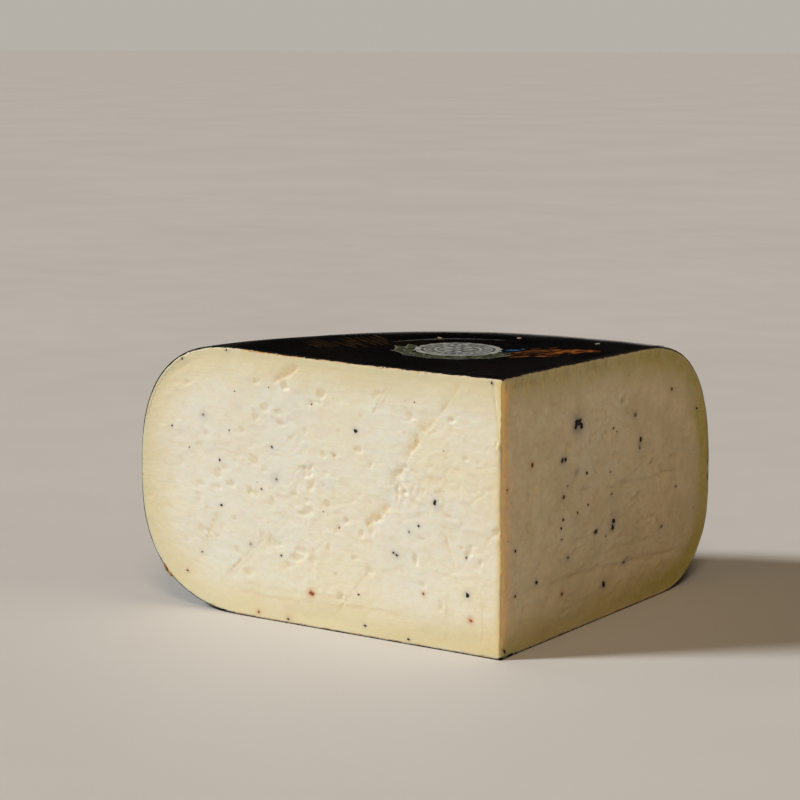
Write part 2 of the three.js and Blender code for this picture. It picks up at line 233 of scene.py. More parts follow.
SIDE_GROOVES = [
    (1.2, 0.3, 0.8, 3, 22.5, 24, 22.6, 43.9, 21.8, 76, 20.6, 109.4, 18.2, 154.5, 15),
    (1.1, 0.22, 0.5, 3.1, 17.1, 24, 16.4, 44, 14.5, 60, 13.6),
    (0.9, 0.2, 0.4, 2.5, 61.3, 12, 63.6, 20.5, 64.1, 43, 63.2),
    (1, 0.24, 0.5, 43.2, 52.5, 56, 55.2, 66.7, 54.7, 86, 52.2, 108.3, 51.2, 162.3, 51.4),
    (0.9, 0.22, 0.4, 7, 50.4, 16, 55, 24, 60.6), (0.9, 0.32, 0.4, 12.7, 97.7, 15, 100.4, 17.7, 104),
    (1.2, 0.3, 0.6, 98, 78, 106, 86, 112, 93), (1, 0.28, 0.5, 66, 69.4, 76, 72.4, 84, 76.6),
    (1.2, 0.2, 0.5, 60, 25, 90, 26.8, 130, 24.4), (1.2, 0.2, 0.6, 30, 88, 52, 92, 70, 96.4),
    (1.2, 0.2, 0.6, 95, 40, 116, 44.6, 136, 41),
]
# Marks by the front cut's sharp edge: (along, width, up, height, depth, how ragged). The first three are the
# nick that the sliver ends in, and the others a dent lower down.
EDGE_DENTS = [
    (1.4, 0.6, 81.9, 1.1, -0.75, 0), (2.5, 0.6, 82.1, 1.2, 0.4, 0), (0.8, 0.9, 79.6, 1, 0.3, 0),
    (1.6, 1.9, 48.2, 2.2, 0.5, 0.5), (1.8, 1, 45.4, 1.4, -0.3, 0),
]
STRAY_PITS = {"front": 80, "side": 55}
SWELL = 0.3  # height of the swelling beyond a pit, as a share of the pit's depth


def pit_shape(a, b, width, height, lean, seed):
    """How far inside an uneven oval pit about 0, 0 each place is, 0 to 1, and how far down its slope."""
    c, s = math.cos(math.radians(lean)), math.sin(math.radians(lean))
    u, v = (a * c + b * s) / (width / 2), (b * c - a * s) / (height / 2)
    ragged = 1 + 0.45 * rough(a / 1.6 + 11, b / 1.3 + 5, seed, 2)
    ragged += 0.5 * noise2(a / 3.1 + 0.37 * seed, b / 2.4, seed + 7)
    inside = smooth(2.0 - 1.7 * np.hypot(u, v) * ragged)
    fall = smooth(0.5 - 0.55 * (a / width + b / height))
    return inside, fall


def stray_pits(reach, count, seed):
    """Small pits spread over a cut by a seeded rule, fewer near the rind."""
    rng = np.random.default_rng(seed)
    pits = []
    while len(pits) < count:
        along, up = rng.uniform(6, reach - 14), rng.uniform(12, 98)
        middle = bell(up - 55, 42) * bell(along - 0.62 * reach, 0.62 * reach)
        if rng.uniform() < middle:
            size = 1.4 + 3.0 * rng.uniform() ** 2
            width = size * rng.uniform(1.0, 1.9)
            lean = rng.uniform(-20, 45)
            pits.append((along, up, width, size, lean, 0.16 * size * rng.uniform(0.6, 1.2)))
    return pits


def pitting(along, up, pits, seed):
    """Depth of the pits, and painted shade in each, strongest on its gentle upper slope, which faces away
    from the light.

    A pit slopes down towards its lower side nearest the wheel's axis and ends there in a wall, with a low
    swelling beyond that the wire left.
    """
    depth = np.zeros(along.shape)
    painted_pit_shade = np.zeros(along.shape)
    for k, (a, b, width, height, lean, deep) in enumerate(pits):
        near = (np.abs(along - a) < 1.6 * width + 1) & (np.abs(up - b) < 1.6 * max(width, height) + 1)
        off_a, off_b = along[near] - a, up[near] - b
        inside, fall = pit_shape(off_a, off_b, width, height, lean, seed + k)
        beyond = np.hypot(off_a / width + 0.6, off_b / height + 0.6)
        depth[near] += deep * (inside * fall - SWELL * bell(beyond, 0.55) * (1 - inside))
        # Painted shade, strongest on the gentle upper slope that faces away from the light.
        painted_pit_shade[near] = np.maximum(painted_pit_shade[near], inside * (1 - 0.6 * fall))
    return depth, painted_pit_shade


def grooving(along, up, grooves):
    """Depth of the grooves. One bank is steep and the other runs out: the upper one if run is negative."""
    depth = np.zeros(along.shape)
    wander = 0.75 * rough(along / 3.2, up / 3.6, 73)
    for width, deep, run, *path in grooves:
        distance, side, where = from_line(along, up, np.reshape(path, (-1, 2)))
        ends = smooth(where / 0.16) * smooth((1 - where) / 0.16)
        strength = deep * ends * (0.5 + 0.7 * smooth(0.5 + 0.9 * noise2(along / 3.6, up / 4.1, 71)))
        signed = math.copysign(1, run) * (distance * side + wander * min(1.0, abs(run)))
        wide = width + abs(run)
        depth += strength * np.where(signed > 0, np.exp(-np.abs(signed / wide) ** 1.3), bell(signed, width))
    return depth


def flaking(along, up, seed):
    """Low flakes, each sloping in, 0 to 1, towards its lower side nearest the axis and ending in a wall."""
    run = 1.6 * rough(along / 8.5 + 0.02 * up, up / 6.0, seed, 3) - (0.6 * along + up) / 12
    into = run - np.floor(run)
    return np.where(into < 0.84, smooth(into / 0.84) * into / 0.84, 1 - smooth((into - 0.84) / 0.16))


# Heights of what the wire leaves on a cut, and the cut's mean depth behind its plane.
WAVE, RIPPLE, DRAG, CURD, SMEAR = 0.3, 0.13, 0.035, 0.07, 0.06
MEAN_DEPTH = 0.3


def wire_waves(along, up, seed):
    """Low waves across the cut, a drag nearly level, and patches of curd and smears."""
    waves = WAVE * noise2(along / 26, up / 19, seed) + RIPPLE * rough(along / 8.5, up / 5.5, seed + 3)
    patch = smooth(0.5 + 0.9 * noise2(along / 22, up / 16, seed + 9))
    drag = DRAG * rough((along + 0.2 * up) / 9, (up - 0.05 * along) / 1.5, seed + 5, 2)
    drag = drag * (1 + 1.2 * bell(along - 85, 42) * bell(up - 80, 22))
    curd = CURD * rough(along / 2.6, up / 1.9, seed + 13) * (0.25 + patch)
    smear = SMEAR * np.abs(rough((along - 0.5 * up) / 6, (up + 0.4 * along) / 3.2, seed + 17)) * patch
    return MEAN_DEPTH + waves + drag + curd + smear


# How many times as deep as in the tables each cut's pits and grooves are, and how deep its flakes.
PIT_GAIN = {"front": 0.75, "side": 1.6}
SIDE_GROOVE_GAIN = 1.9
FLAKE_DEPTH = {"front": 0.15, "side": 0.34}


def front_relief(along, up):
    """How deep the front cut lies behind its plane, in millimetres."""
    depth = wire_waves(along, up, 11)
    pits, inside = pitting(along, up, FRONT_PITS + stray_pits(175, STRAY_PITS["front"], 5), 300)
    grooves = grooving(along, up, FRONT_GROOVES)
    flaked = smooth(0.55 + 0.9 * noise2(along / 19 + 3, up / 17 + 5, 95)) * bell(up - 54, 44)
    flakes = flaked * flaking(along, up, 97)
    calmer = 1 - 0.3 * smooth((along - 90) / 40)
    depth += calmer * (PIT_GAIN["front"] * pits + FLAKE_DEPTH["front"] * flakes) + grooves
    rumple = bell(along - 44, 14) * bell(up - 58, 10)
    depth += 0.3 * rumple * rough(along / 3.0, up / 2.2, 91)
    # A sliver is lifted along the sharp edge.
    sliver = 0.9 + 3.0 * smooth((up - 80) / 27)
    over = smooth((up - 82.5) / 2)
    depth -= 0.42 * over * np.clip(1 - along / sliver, 0, 1)
    depth += 0.2 * over * bell(along - sliver - 0.2, 0.4)
    for a, width, b, height, deep, ragged in EDGE_DENTS:
        uneven = 1 + ragged * rough(along / 1.2, up / 1.2, 17)
        depth += deep * bell(along - a, width) * bell(up - b, height) * uneven
    depth += 0.3 * bell(along, 1.0) * (1 - 0.7 * over)
    # With the depth goes painted shade for the pits, grooves and flakes, on their slopes that face away from
    # the light.
    return depth, np.maximum(np.maximum(inside, 4.2 * grooves), 0.4 * flakes)


def side_relief(along, up):
    """The same for the side cut, which is smoother."""
    depth = wire_waves(along, up, 41)
    pits, inside = pitting(along, up, SIDE_PITS + stray_pits(170, STRAY_PITS["side"], 6), 500)
    grooves = grooving(along, up, SIDE_GROOVES)
    flakes = flaking(along, up, 99)
    depth += PIT_GAIN["side"] * pits + SIDE_GROOVE_GAIN * grooves + FLAKE_DEPTH["side"] * flakes
    depth += 0.3 * rough((along - 1.4 * up) / 12, (along + 0.4 * up) / 5, 57, 3)
    depth += 0.12 * rough(along / 3.4, up / 2.8, 59, 3)
    depth += 0.35 * bell(along, 1.1)
    # With the depth goes painted shade for the pits, grooves and flakes, on their slopes that face away from
    # the light.
    return depth, 1.7 * np.maximum(np.maximum(inside, 1.8 * grooves), 0.4 * flakes)


# ---- Truffle ----

# Pieces that show, each (along, up, width, height, kind).
FRONT_FLECKS = [
    (66.9, 81.3, 1.9, 1.7, "black"), (29.8, 57.3, 1.6, 2.3, "black"), (37.4, 47.3, 0.9, 0.9, "black"),
    (41.8, 44.4, 0.8, 0.8, "grey"), (77.3, 70.4, 0.8, 0.5, "red"), (87.9, 89.8, 0.8, 0.8, "brown"),
    (74.9, 41.8, 0.8, 0.9, "brown"), (159.1, 74.8, 0.8, 0.8, "black"), (142.4, 80.9, 0.7, 0.7, "grey"),
    (107.7, 70.8, 0.8, 0.9, "black"), (134.3, 63, 0.8, 0.9, "black"), (105.6, 58, 0.9, 0.8, "grey"),
    (113.1, 53.4, 0.8, 0.8, "grey"), (133.6, 44.5, 1.3, 1, "black"), (144.1, 23.7, 0.8, 0.7, "black"),
    (103.3, 27.3, 1, 1, "black"), (118.8, 30.2, 0.9, 0.7, "grey"), (88.5, 13.9, 2.4, 1.8, "red"),
    (152, 14.9, 1.4, 0.7, "brown"), (114.9, 2.6, 1.1, 0.8, "brown"), (100, 1.8, 1.2, 0.8, "black"),
    (62.5, 4.4, 1.3, 1.1, "black"), (48.9, 35.3, 1.1, 1, "black"), (47.3, 34.6, 1.1, 1.2, "black"),
    (153, 103, 1.1, 1.1, "black"), (130.1, 108.2, 0.9, 0.7, "black"), (65.5, 16.5, 0.8, 0.7, "brown"),
    (15.2, 23.1, 1.7, 2, "black"), (13.6, 13.5, 1.5, 1, "red"), (35.2, 21, 0.8, 0.8, "red"),
    (41.8, 2, 1.2, 0.9, "black"), (15.8, 37.5, 0.8, 0.9, "grey"), (4.7, 105.5, 0.6, 1.5, "black"),
]
SIDE_FLECKS = [
    (57, 83.2, 6, 1.8, "black"), (57.4, 82.5, 5.2, 1.8, "black"), (54.9, 81.7, 2, 2.2, "black"),
    (59.3, 81.4, 2, 2.4, "black"), (44.6, 69.8, 1.5, 2.3, "black"), (47.5, 69.8, 1.5, 2.4, "black"),
    (22.4, 71.6, 1.3, 2.2, "brown"), (64.6, 61.7, 1.1, 1.4, "black"), (86, 76.8, 1.3, 1.1, "brown"),
    (84.4, 58.9, 1.2, 1, "brown"), (104, 79.8, 1.9, 1.7, "grey"), (108.8, 68.9, 2.3, 2.5, "black"),
    (108.2, 65.6, 1.2, 2, "grey"), (119, 57.8, 1.3, 1.1, "brown"), (86, 49.9, 1.4, 1.4, "grey"),
    (140.9, 44.2, 1.6, 1.4, "grey"), (46.7, 55, 1.9, 1.7, "brown"), (49.6, 58.8, 1, 1.3, "grey"),
    (65.7, 48.8, 1, 1.2, "brown"), (57.7, 46.9, 1.4, 1.1, "brown"), (46.7, 45.9, 1.4, 1.3, "brown"),
    (44.8, 42.9, 1.1, 1.1, "black"), (45.9, 38.3, 1.3, 1, "grey"), (72.7, 36.5, 2.8, 2, "black"),
    (86.8, 38.7, 1.7, 1.9, "black"), (86.3, 36.1, 2.1, 2.1, "black"), (80.8, 33.4, 1, 1, "grey"),
    (10.1, 40.3, 1.3, 1.3, "black"), (26.4, 25, 1.6, 1.7, "black"), (79, 14, 2.2, 2.6, "black"),
    (46.3, 16.3, 1.9, 1.4, "brown"), (50.1, 30.3, 1.3, 1.3, "grey"), (97.3, 19.6, 1.9, 1.5, "grey"),
    (5.2, 64.5, 0.9, 0.9, "brown"), (11.5, 22.5, 0.9, 1.3, "brown"), (135.2, 86.5, 1.8, 1.5, "brown"),
    (158.8, 75.2, 1.4, 1.1, "black"), (127.9, 29.1, 1.8, 1.4, "grey"), (3.2, 2.9, 0.7, 2.2, "black"),
]
# Places where truffle lies just under the paste: (along, up, spread, strength).
FRONT_SHADOWS = [
    (29.8, 57.3, 2.6, 0.16), (66.9, 81.3, 2.2, 0.14), (48, 35, 4, 0.16), (15.2, 23.1, 2.4, 0.14),
    (142.4, 80.9, 2.6, 0.3), (106, 58, 2.6, 0.28), (125, 86, 2.4, 0.14), (41, 45, 3, 0.12),
    (118.8, 30.2, 2, 0.2),
]
SIDE_SHADOWS = [
    (56.9, 63.3, 1.8, 0.9), (57, 82, 4.2, 0.5), (46, 69.7, 3, 0.3), (108.8, 68.9, 3, 0.35),
    (104, 79.8, 2.4, 0.35), (86.6, 37.4, 3.4, 0.45), (79, 14, 3.4, 0.4), (97.3, 19.6, 3, 0.4),
    (50.1, 30.3, 2.4, 0.35), (46.7, 55, 2.6, 0.3), (127.9, 29.1, 2.6, 0.3), (72.7, 36.5, 2.6, 0.3),
    (26.4, 25, 2.4, 0.25),
]
# Places where a piece has stained the paste round it.
FRONT_STAINS = [
    (88.5, 13.9, 1.9, 0.75), (13.6, 13.5, 1.6, 0.6), (77.3, 70.4, 1.2, 0.25), (35.2, 21, 1.3, 0.4),
    (114.9, 2.6, 1.5, 0.5), (99.6, 2.4, 2.2, 0.35),
]
SIDE_STAINS = [
    (46.3, 16.3, 2.2, 0.5), (22.4, 71.6, 1.8, 0.4), (5.2, 64.5, 1.6, 0.3), (70.8, 49.4, 1.6, 0.4),
]
STRAY_FLECKS = {"front": 14, "side": 14}


def shadowing(along, up, shadows):
    total = np.zeros(along.shape)
    for a, b, spread, strength in shadows:
        total += strength * bell(np.hypot(along - a, up - b), spread)
    return np.minimum(total, 1.0)


def halos(flecks, kinds):
    """The soft tint that each fleck of some kinds gives the paste round it."""
    some = [fleck for fleck in flecks if fleck[-1] in kinds]
    return [(along, up, 0.6 * max(width, height) + 0.4, 0.45) for along, up, width, height, _ in some]


# ---- Meshes ----


def new_object(name, verts_mm, faces, material=None):
    """A smooth-shaded object from points in millimetres."""
    mesh = bpy.data.meshes.new(name)
    mesh.from_pydata((np.asarray(verts_mm) * MM).tolist(), [], faces)
    mesh.update()
    mesh.polygons.foreach_set("use_smooth", np.ones(len(mesh.polygons), bool))
    thing = bpy.data.objects.new(name, mesh)
    bpy.context.scene.collection.objects.link(thing)
    if material:
        mesh.materials.append(material)
    return thing


def face_outwards(thing):
    mesh = bmesh.new()
    mesh.from_mesh(thing.data)
    bmesh.ops.recalc_face_normals(mesh, faces=mesh.faces)
    mesh.to_mesh(thing.data)
    mesh.free()
    thing.data.set_sharp_from_angle(angle=math.radians(50))


def set_values(thing, name, values):
    layer = thing.data.attributes.new(name, "FLOAT", "POINT")
    layer.data.foreach_set("value", np.ascontiguousarray(values, dtype=np.float32))


def grid_faces(index, flipped=False):
    """Faces over a grid of point numbers, leaving out repeated corners."""
    a, b, c, d = index[:-1, :-1], index[1:, :-1], index[1:, 1:], index[:-1, 1:]
    quads = np.stack([a, d, c, b] if flipped else [a, b, c, d], axis=-1).reshape(-1, 4)
    faces = []
    for quad in quads.tolist():
        face = list(dict.fromkeys(quad))
        if len(face) > 2:
            faces.append(face)
    return faces


def shell_faces(over, under, flipped=False, loop=False):
    """Faces over two grids of point numbers and round their edges. A loop's last row is its first again."""
    faces = grid_faces(over, flipped) + grid_faces(under, not flipped)
    sides = [(over[:, 0], under[:, 0]), (under[:, -1], over[:, -1])]
    ends = [(under[0], over[0]), (over[-1], under[-1])]
    for edge in sides if loop else sides + ends:
        faces += grid_faces(np.stack(edge, 1), flipped)
    return faces


def joining_faces(fine, coarse, flipped):
    """Faces between a row of points and one with half as many spans."""
    faces = []
    for k in range(len(coarse) - 1):
        ring = [fine[2 * k], fine[2 * k + 1], fine[2 * k + 2], coarse[k + 1], coarse[k]]
        ring = list(dict.fromkeys(int(i) for i in ring))
        if len(ring) > 2:
            faces.append(ring[::-1] if flipped else ring)
    return faces


class Points:
    """Numbered points that grids can share."""

    def __init__(self):
        self.blocks = []
        self.count = 0

    def add(self, positions, first=False, last=False):
        """Numbers for some positions. A grid's first or last row can be one point, given all along it."""
        inside = positions[int(first) : len(positions) - int(last)]
        self.blocks.append(inside.reshape(-1, 3))
        size = len(self.blocks[-1])
        numbers = np.arange(self.count, self.count + size).reshape(inside.shape[:-1])
        self.count += size
        for row, single in ((0, first), (-1, last)):
            if single:
                tip = np.full_like(numbers[:1], self.add(positions[row, :1])[0])
                numbers = np.vstack([numbers, tip] if row else [tip, numbers])
        return numbers

    def all(self):
        return np.concatenate(self.blocks)


# ---- The paste ----

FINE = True
EDGE_COLUMNS = 24 if FINE else 12  # counts of columns are even, as the side cut has every second one
FLAT_COLUMNS = 236 if FINE else 100
RIM_COLUMNS = 60 if FINE else 36
CUT_ROWS = 180 if FINE else 84
RIND_STEPS = 12
EDGE_BAND = 8.0


def column_radii(section, inset):
    """Circles that the grid's columns stand on, close at the sharp edge and towards the widest point."""
    edge = np.linspace(0, EDGE_BAND, EDGE_COLUMNS + 1)[:-1]
    flat = np.linspace(EDGE_BAND, LABEL_RADIUS, FLAT_COLUMNS + 1)[:-1]
    turn = np.linspace(0, np.pi / 2, RIM_COLUMNS + 1)
    outer = section["radius"] - inset
    rim = outer - (outer - LABEL_RADIUS) * (1 - np.sin(turn))
    return np.concatenate([edge, flat, rim])


def rind_distance(along, up, section, inset):
    """How far each place on a cut is from its outline."""
    radii = column_radii(section, inset)[::2]
    outline = np.concatenate(
        [
            np.stack([radii, top_height(section, radii, inset)], 1),
            np.stack([radii, base_height(section, radii, inset)], 1)[::-1],
        ]
    )
    best = np.full(along.size, 1e9)
    flat_a, flat_b = along.ravel(), up.ravel()
    for a, b in outline:
        best = np.minimum(best, (flat_a - a) ** 2 + (flat_b - b) ** 2)
    vertical = np.minimum(
        np.abs(top_height(section, flat_a, inset) - flat_b),
        np.abs(flat_b - base_height(section, flat_a, inset)),
    )
    return np.minimum(np.sqrt(best), vertical).reshape(along.shape)


EDGE_REACH = {"front": 1.5, "side": 11.0}  # how far light comes through the sharp edge into each cut
EDGE_GLOW = {"front": 0.5, "side": 1.0}
# Stretches of a cut's top edge with an amber line under the coat: (from, to, strength).
FRONT_AMBER = [(30, 126, 0.6), (90, 124, 0.7), (4, 34, 0.35), (160, 190, 0.6)]
SIDE_AMBER = [(3, 70, 0.35)]


def calmed(depth, to_rind):
    """Relief grows shallow towards a cut's outline."""
    return depth * (0.25 + 0.75 * smooth(to_rind / 4))


def tones(name, along, up, under_top):
    """Where a cut has a painted glow at its sharp edge, painted shade, darkening near the rind from age and
    painted shade, a paler tone, combing or a seam: 0 for not at all.
    """
    if name == "side":
        outwards = smooth((along - 80) / 70)
        # On the side cut: a painted glow by the sharp edge, painted shade over all of it that grows outwards,
        # and darkening near the rind that is partly age and mostly painted shade.
        return {
            "painted_glow": bell(along, 4.8) * (0.9 + 0.5 * smooth((up - 55) / 45)),
            "painted_shade": 1 + 0.45 * outwards,
            "age_and_shade": 1 + 1.1 * outwards,
            "pale": 0 * along,
            "combed": smooth((10 - under_top) / 7),
            "seam": 0 * along,
        }
    # On the front: a painted glow by the sharp edge, and painted shade and age towards the base near the
    # axis.
    return {
        "painted_glow": bell(along, 2.2) + 0.15 * bell(along - 7, 6),
        "painted_shade": 0.06 * smooth((24 - up) / 24) * smooth((130 - along) / 60),
        "age_and_shade": 0.26 * smooth((24 - up) / 18) * smooth((90 - along) / 60),
        "pale": 0.7 * bell(along - 122, 42) * bell(up - 58, 26)
        + 0.4 * bell(along - 14, 16) * bell(up - 38, 13),
        "combed": 0 * along,
        "seam": smooth((along - 148) / 8) * smooth((up - 74) / 8),
    }


def cut_grid(name, flecks, shadows, stains, ambers, seed, step=1):
    """Along, up and depth over a cut's grid, and what the material reads there. step leaves out columns."""
    share, _, _, relief = CUTS[name]
    section = section_at(share)
    radii = column_radii(section, COAT)[::step]
    rise = np.linspace(0, 1, CUT_ROWS + 1)
    along = np.repeat(radii[:, None], CUT_ROWS + 1, axis=1)
    ragged = rough(radii / 2.3, radii * 0 + seed, seed, 3) * smooth(radii / 6)
    base = base_height(section, radii, COAT) + 0.2 * ragged - 0.22
    top = top_height(section, radii, COAT) + 0.34 * ragged
    top[-1] = base[-1] = section["widest"]
    up = base[:, None] + (top - base)[:, None] * rise[None, :]
    to_rind = rind_distance(along, up, section, COAT)
    depth, inside = relief(along, up)
    depth = calmed(depth, to_rind)
    depth[-1] = depth[-1].mean()
    amber = np.zeros(along.shape)
    for low, high, strength in ambers:
        amber += strength * smooth((along - low) / 6) * smooth((high - along) / 6)
    read = {
        "rind": to_rind,
        # Painted shade in the pits, grooves and flakes.
        "pit": inside,
        "shadow": shadowing(along, up, shadows + halos(flecks, ("black", "grey"))),
        "stain": shadowing(along, up, stains + halos(flecks, ("brown", "red"))),
        "amber": amber * smooth((up - 20) / 30),
        "edge": EDGE_GLOW[name] * bell(along, EDGE_REACH[name]),
        **tones(name, along, up, top[:, None] - up),
    }
    return along, up, depth, read


def build_paste(material):
    along, up, depth, front = cut_grid("front", FRONT_FLECKS, FRONT_SHADOWS, FRONT_STAINS, FRONT_AMBER, 21)
    side_grid = cut_grid("side", SIDE_FLECKS, SIDE_SHADOWS, SIDE_STAINS, SIDE_AMBER, 22, step=2)
    side_along, side_up, side_depth, side = side_grid
    into_front, into_side = CUTS["front"][2], CUTS["side"][2]

    points = Points()
    places = in_frame(along, 0.0, up) + depth[..., None] * into_front
    places[0] += side_depth[0][:, None] * into_side
    front_index = points.add(places, last=True)
    places = in_frame(side_along, 1.0, side_up) + side_depth[..., None] * into_side
    side_index = np.vstack([front_index[:1], points.add(places[1:], last=True)])

    shares = np.linspace(0, 1, RIND_STEPS + 1)[1:-1]
    top, base = [], []
    for share in shares:
        section = section_at(share)
        radii = column_radii(section, COAT)
        top.append(in_frame(radii, share, top_height(section, radii, COAT)))
        base.append(in_frame(radii, share, base_height(section, radii, COAT)))
    top, base = np.stack(top, 1), np.stack(base, 1)
    tips = points.add(top[-1])
    t, b = points.add(top[1:-1]), points.add(base[1:-1])

    faces = grid_faces(front_index, True) + grid_faces(side_index)
    for inner, row, flipped in ((t, CUT_ROWS, True), (b, 0, False)):
        middle = np.vstack([np.full((1, len(shares)), front_index[0, row]), inner, tips[None, :]])
        faces += grid_faces(np.hstack([front_index[:, row : row + 1], middle]), flipped)
        faces += joining_faces(middle[:, -1], side_index[:, row], flipped)
    paste = new_object("cheese_paste", points.all(), faces, material)

    rest = np.zeros(tips.size + t.size + b.size)
    for key, over in front.items():
        across = side[key]
        parts = [over[:-1].ravel(), over[-1, :1], across[1:-1].ravel(), across[-1, :1], rest]
        set_values(paste, key, np.concatenate(parts))
    return paste


# ---- The coat ----

COAT_DEEP = 1.0  # its inner side, which lies in the paste's rind
COAT_STEPS = 64
COAT_COLUMNS = 46
COAT_UNEVEN = 0.16
LIP_RECESS = 0.22
LIP_WANDER = 0.1


def build_coat(material):
    """A thin closed shell round the rind, its lips a little back from the cuts."""
    shares = np.linspace(0, 1, COAT_STEPS + 1)
    outer, inner = [], []
    for share in shares:
        section = section_at(share)
        for inset, rows in ((0.0, outer), (COAT_DEEP, inner)):
            turn = np.linspace(0, np.pi / 2, COAT_COLUMNS + 1)
            limit = section["radius"] - inset
            flat = np.linspace(0, LABEL_RADIUS, COAT_COLUMNS + 1)[:-1]
            radii = np.concatenate([flat, limit - (limit - LABEL_RADIUS) * (1 - np.sin(turn))])
            under = in_frame(radii, share, base_height(section, radii, inset))
            over = in_frame(radii, share, top_height(section, radii, inset))[::-1][1:]
            rows.append(np.concatenate([under, over]))
    outer, inner = np.stack(outer, 1), np.stack(inner, 1)

    # The surface is slightly uneven. Only what is well off the flat base and top moves.
    way = np.arange(outer.shape[0])[:, None] / 6.0
    uneven = rough(way + 0 * shares, 9 * shares[None, :] + 0 * way, 33, 2)
    lean = np.zeros(outer.shape)
    lean[..., :2] = outer[..., :2] - CORNER
    length = np.linalg.norm(lean, axis=-1, keepdims=True)
    lean = lean / np.maximum(length, 1e-6)
    off_base = smooth((outer[..., 2:] - 1) / 6) * smooth((length - 120) / 20)
    outer = outer - COAT_UNEVEN * (1 + uneven[..., None]) * lean * off_base

    # The lips wander along the cuts' normals.
    run = np.arange(outer.shape[0])
    for step, name, seed in ((0, "front", 61), (COAT_STEPS, "side", 62)):
        wander = LIP_RECESS + LIP_WANDER * rough(run / 1.7, run * 0.0, seed, 3)
        for shell in (outer, inner):
            shell[:, step] += wander[:, None] * CUTS[name][2]
    for shell in (outer, inner):
        shell[0], shell[-1] = shell[0, 1], shell[-1, 1]

    points = Points()
    outer, inner = points.add(outer, first=True, last=True), points.add(inner, first=True, last=True)
    faces = grid_faces(outer) + grid_faces(inner, True)
    for step, flipped in ((0, False), (COAT_STEPS, True)):
        faces += grid_faces(np.stack([outer[:, step], inner[:, step]], 1), flipped)
    coat = new_object("black_coat", points.all(), faces, material)
    face_outwards(coat)
    return coat


# ---- Plates: thin closed sheets that follow the top ----

SHEET_UNDER = 0.1
SHEET_OVER = 0.4
SHEET_RECESS = 0.2  # how far its cut edges stand back from the cuts
SHEET_STEPS = 96
SHEET_RINGS = 49


def cockle(left, right):
    """How far the sheet stands up from the top towards its rim."""
    radius = np.hypot(left, right)
    angle = np.arctan2(right, np.maximum(left, 1e-9))
    return 0.07 * smooth((radius - 95) / 33) * (1 + rough(9 * angle + 2, radius / 30, 77, 2))


def plate(left, right, low, high, closed=False):
    """A plate over the sheet from a grid of places. closed joins the grid's last row to its first."""
    points = Points()
    stand = cockle(left, right)
    over = points.add(on_top(left, right, high + stand))
    under = points.add(on_top(left, right, low + stand))
    if closed:
        over, under = np.vstack([over, over[:1]]), np.vstack([under, under[:1]])
    return points.all(), shell_faces(over, under, loop=closed)


def join_plates(name, plates, material):
    verts, faces, offset = [], [], 0
    for points, some in plates:
        verts.append(points)
        faces += [[i + offset for i in face] for face in some]
        offset += len(points)
    thing = new_object(name, np.concatenate(verts), faces, material)
    face_outwards(thing)
    return thing


def build_sheet(material):
    """The printed sheet: a quarter of a disc, cut off with the cheese, its rim a little cockled."""
    angle = np.linspace(0, 1, SHEET_STEPS + 1) * np.pi / 2
    radii = np.linspace(0, LABEL_RADIUS, SHEET_RINGS + 1)[:, None]
    left, right = radii * np.cos(angle), radii * np.sin(angle)
    over = on_top(left, right, SHEET_OVER + cockle(left, right))
    under = on_top(left, right, SHEET_UNDER + cockle(left, right))
    for rows in (over, under):
        rows[:, 0, 1] += SHEET_RECESS
        rows[:, -1, 0] -= SHEET_RECESS
        rows[0] = rows[0, 1]
    points = Points()
    faces = shell_faces(points.add(over, first=True), points.add(under, first=True), flipped=True)
    sheet = new_object("label_sheet", points.all(), faces, material)
    face_outwards(sheet)
    return sheet


# ---- The print: a made-up design of rosette, leaves, beads and strokes ----

INK_LOW = SHEET_OVER - 0.05
INK = SHEET_OVER + 0.03
ROSETTE = (53.0, 52.0)
ROSETTE_RADIUS = 17.5


def ring(centre, inner, outer, lift, lobes=0, wave=0.0, count=96):
    """A flat ring, its outer edge scalloped by lobes."""
    angle = np.linspace(0, 2 * np.pi, count, endpoint=False)
    edge = outer * (1 + wave * np.cos(lobes * angle))
    radii = np.stack([np.full(count, inner), (inner + edge) / 2, edge], 1)
    left = centre[0] + radii * np.cos(angle)[:, None]
    right = centre[1] + radii * np.sin(angle)[:, None]
    return plate(left, right, INK_LOW, lift, closed=True)


def blade(start, end, width, bend, lift, skew=0.5, count=14):
    """A leaf or stroke with pointed ends, curved to one side, widest part of the way along."""
    start, end = np.array(start, float), np.array(end, float)
    run = end - start
    length = np.hypot(*run)
    run = run / length
    off = np.array([-run[1], run[0]])
    t = np.linspace(0.01, 0.99, count)
    swell = np.sin(np.pi * t ** (math.log(0.5) / math.log(skew))) ** 0.8
    middle = start + t[:, None] * run * length + (bend * np.sin(np.pi * t))[:, None] * off
    across = np.linspace(-0.5, 0.5, 4)
    place = middle[:, None, :] + (across[None, :, None] * (width * swell)[:, None, None]) * off
    return plate(place[..., 0], place[..., 1], INK_LOW, lift)


def around(centre, radius, degrees):
    return (
        centre[0] + radius * math.cos(math.radians(degrees)),
        centre[1] + radius * math.sin(math.radians(degrees)),
    )


def rosette_parts():
    """A pale scalloped roundel: an outer band, a ring of petals and an inner flower."""
    pale = [
        ring(ROSETTE, ROSETTE_RADIUS - 2.4, ROSETTE_RADIUS, INK, lobes=20, wave=0.02),
        ring(ROSETTE, ROSETTE_RADIUS - 4.4, ROSETTE_RADIUS - 3.6, INK),
        ring(ROSETTE, 8.6, 9.8, INK),
        ring(ROSETTE, 0.01, 1.6, INK, count=32),
    ]
    for k in range(24):
        pale.append(blade(around(ROSETTE, 10.4, 15 * k), around(ROSETTE, 13.0, 15 * k), 1.5, 0, INK))
    grey = [ring(ROSETTE, 0.01, ROSETTE_RADIUS - 2.4, INK - 0.02)]
    for angle in range(10, 370, 45):
        pale.append(blade(around(ROSETTE, 2.2, angle), around(ROSETTE, 8.0, angle), 3.0, 0.3, INK, skew=0.6))
    return pale, grey


LEAF_ARC = 24.5  # radius, round the rosette, of the line the leaves follow


